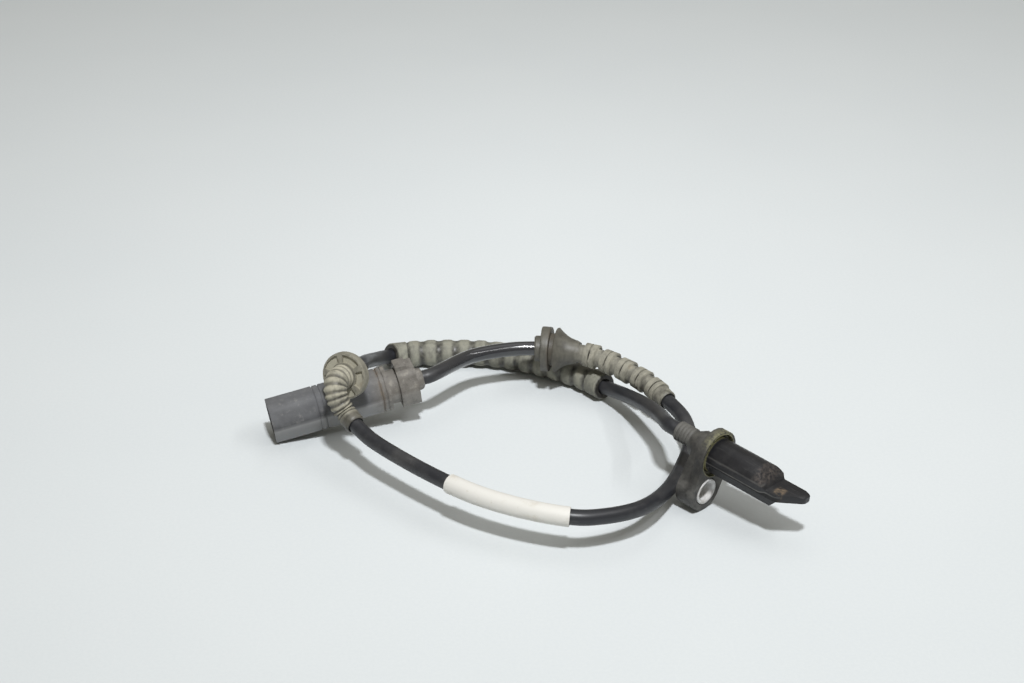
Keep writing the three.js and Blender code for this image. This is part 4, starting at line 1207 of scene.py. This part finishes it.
# %% Floor
FLOOR_SIZE = 6
FLOOR_TONE = (204, 208, 209)
FLOOR_PATCH = (197, 202, 204)
bpy.ops.object.select_all(action="DESELECT")
bpy.ops.mesh.primitive_plane_add(size=FLOOR_SIZE, location=(0, 0, 0))
floor = bpy.context.object
floor.name = "table_top"
floor_finish = Finish("table_top_finish")
speckle = floor_finish.noise(floor_finish.place(), 900, 3)
patches = floor_finish.noise(floor_finish.place(), 9, 2)
floor_colour = floor_finish.mix(
    speckle.between(0.35, 0.65) * 0.35 + patches.between(0.3, 0.7) * 0.3,
    tone(*FLOOR_TONE), tone(*FLOOR_PATCH))
floor.data.materials.append(floor_finish.wear(floor_colour, 0.75, speckle, 0.0002, 0.15))
print("floor", FLOOR_SIZE, "m across")


# %% Area lamps
def lamp(name, place, aim, size, power, colour, spread=180):
    """Area lamp, of a width and a height, that looks at a point."""
    light = bpy.data.lights.new(name, "AREA")
    light.shape = "RECTANGLE"
    light.size, light.size_y = size
    light.energy = power
    light.color = colour
    light.spread = math.radians(spread)
    made = bpy.data.objects.new(name, light)
    bpy.context.collection.objects.link(made)
    made.location = place
    made.rotation_euler = (Vector(aim) - Vector(place)).to_track_quat("-Z", "Y").to_euler()


print("lamp helper ready")

# %% Main lamp and soft lamp
MIDDLE = Vector((-0.065, 0.04, 0.01))
KEY_RISE = math.radians(62)
KEY_DISTANCE = 1.4
KEY_AIM = MIDDLE + Vector((0, 0.19, 0))
KEY_SIZE = (0.11, 0.11)
KEY_POWER = 3.1
KEY_COLOUR = (0.96, 0.975, 1)
KEY_SPREAD = 70
SKY_PLACE = (-0.06, 0.42, 1.1)
SKY_AIM = (-0.06, 0.2, 0)
SKY_SIZE = (0.7, 0.7)
SKY_POWER = 1.0
SKY_COLOUR = (0.98, 0.99, 1)
key_place = MIDDLE + Vector((0.05, -math.cos(KEY_RISE), math.sin(KEY_RISE))) * KEY_DISTANCE
lamp("key_lamp", key_place, KEY_AIM, KEY_SIZE, KEY_POWER, KEY_COLOUR, KEY_SPREAD)
lamp("sky_lamp", SKY_PLACE, SKY_AIM, SKY_SIZE, SKY_POWER, SKY_COLOUR)
print("main lamp at", [round(v, 2) for v in key_place])

# %% Streak lamps, by azimuth in degrees and power
STREAKS = ((28, 0.8), (58, 1.2), (88, 1.5))
STREAK_RISE = math.radians(54)
STREAK_DISTANCE = 1.2
STREAK_SIZE = (0.8, 0.035)
WHITE = (1, 1, 1)
for azimuth, power in STREAKS:
    turn = math.radians(azimuth)
    place = MIDDLE + STREAK_DISTANCE * Vector((
        math.sin(turn) * math.cos(STREAK_RISE),
        -math.cos(turn) * math.cos(STREAK_RISE), math.sin(STREAK_RISE)))
    lamp("streak_lamp_" + str(azimuth), place, MIDDLE, STREAK_SIZE, power, WHITE)
print("streak lamps:", len(STREAKS))

# %% World light
WORLD_COLOUR = (1, 0.955, 0.83, 1)
WORLD_STRENGTH = 0.27
world = bpy.data.worlds.new("room_light")
world.use_nodes = True
background = world.node_tree.nodes["Background"]
background.inputs["Color"].default_value = WORLD_COLOUR
background.inputs["Strength"].default_value = WORLD_STRENGTH
bpy.context.scene.world = world
print("world strength", WORLD_STRENGTH)
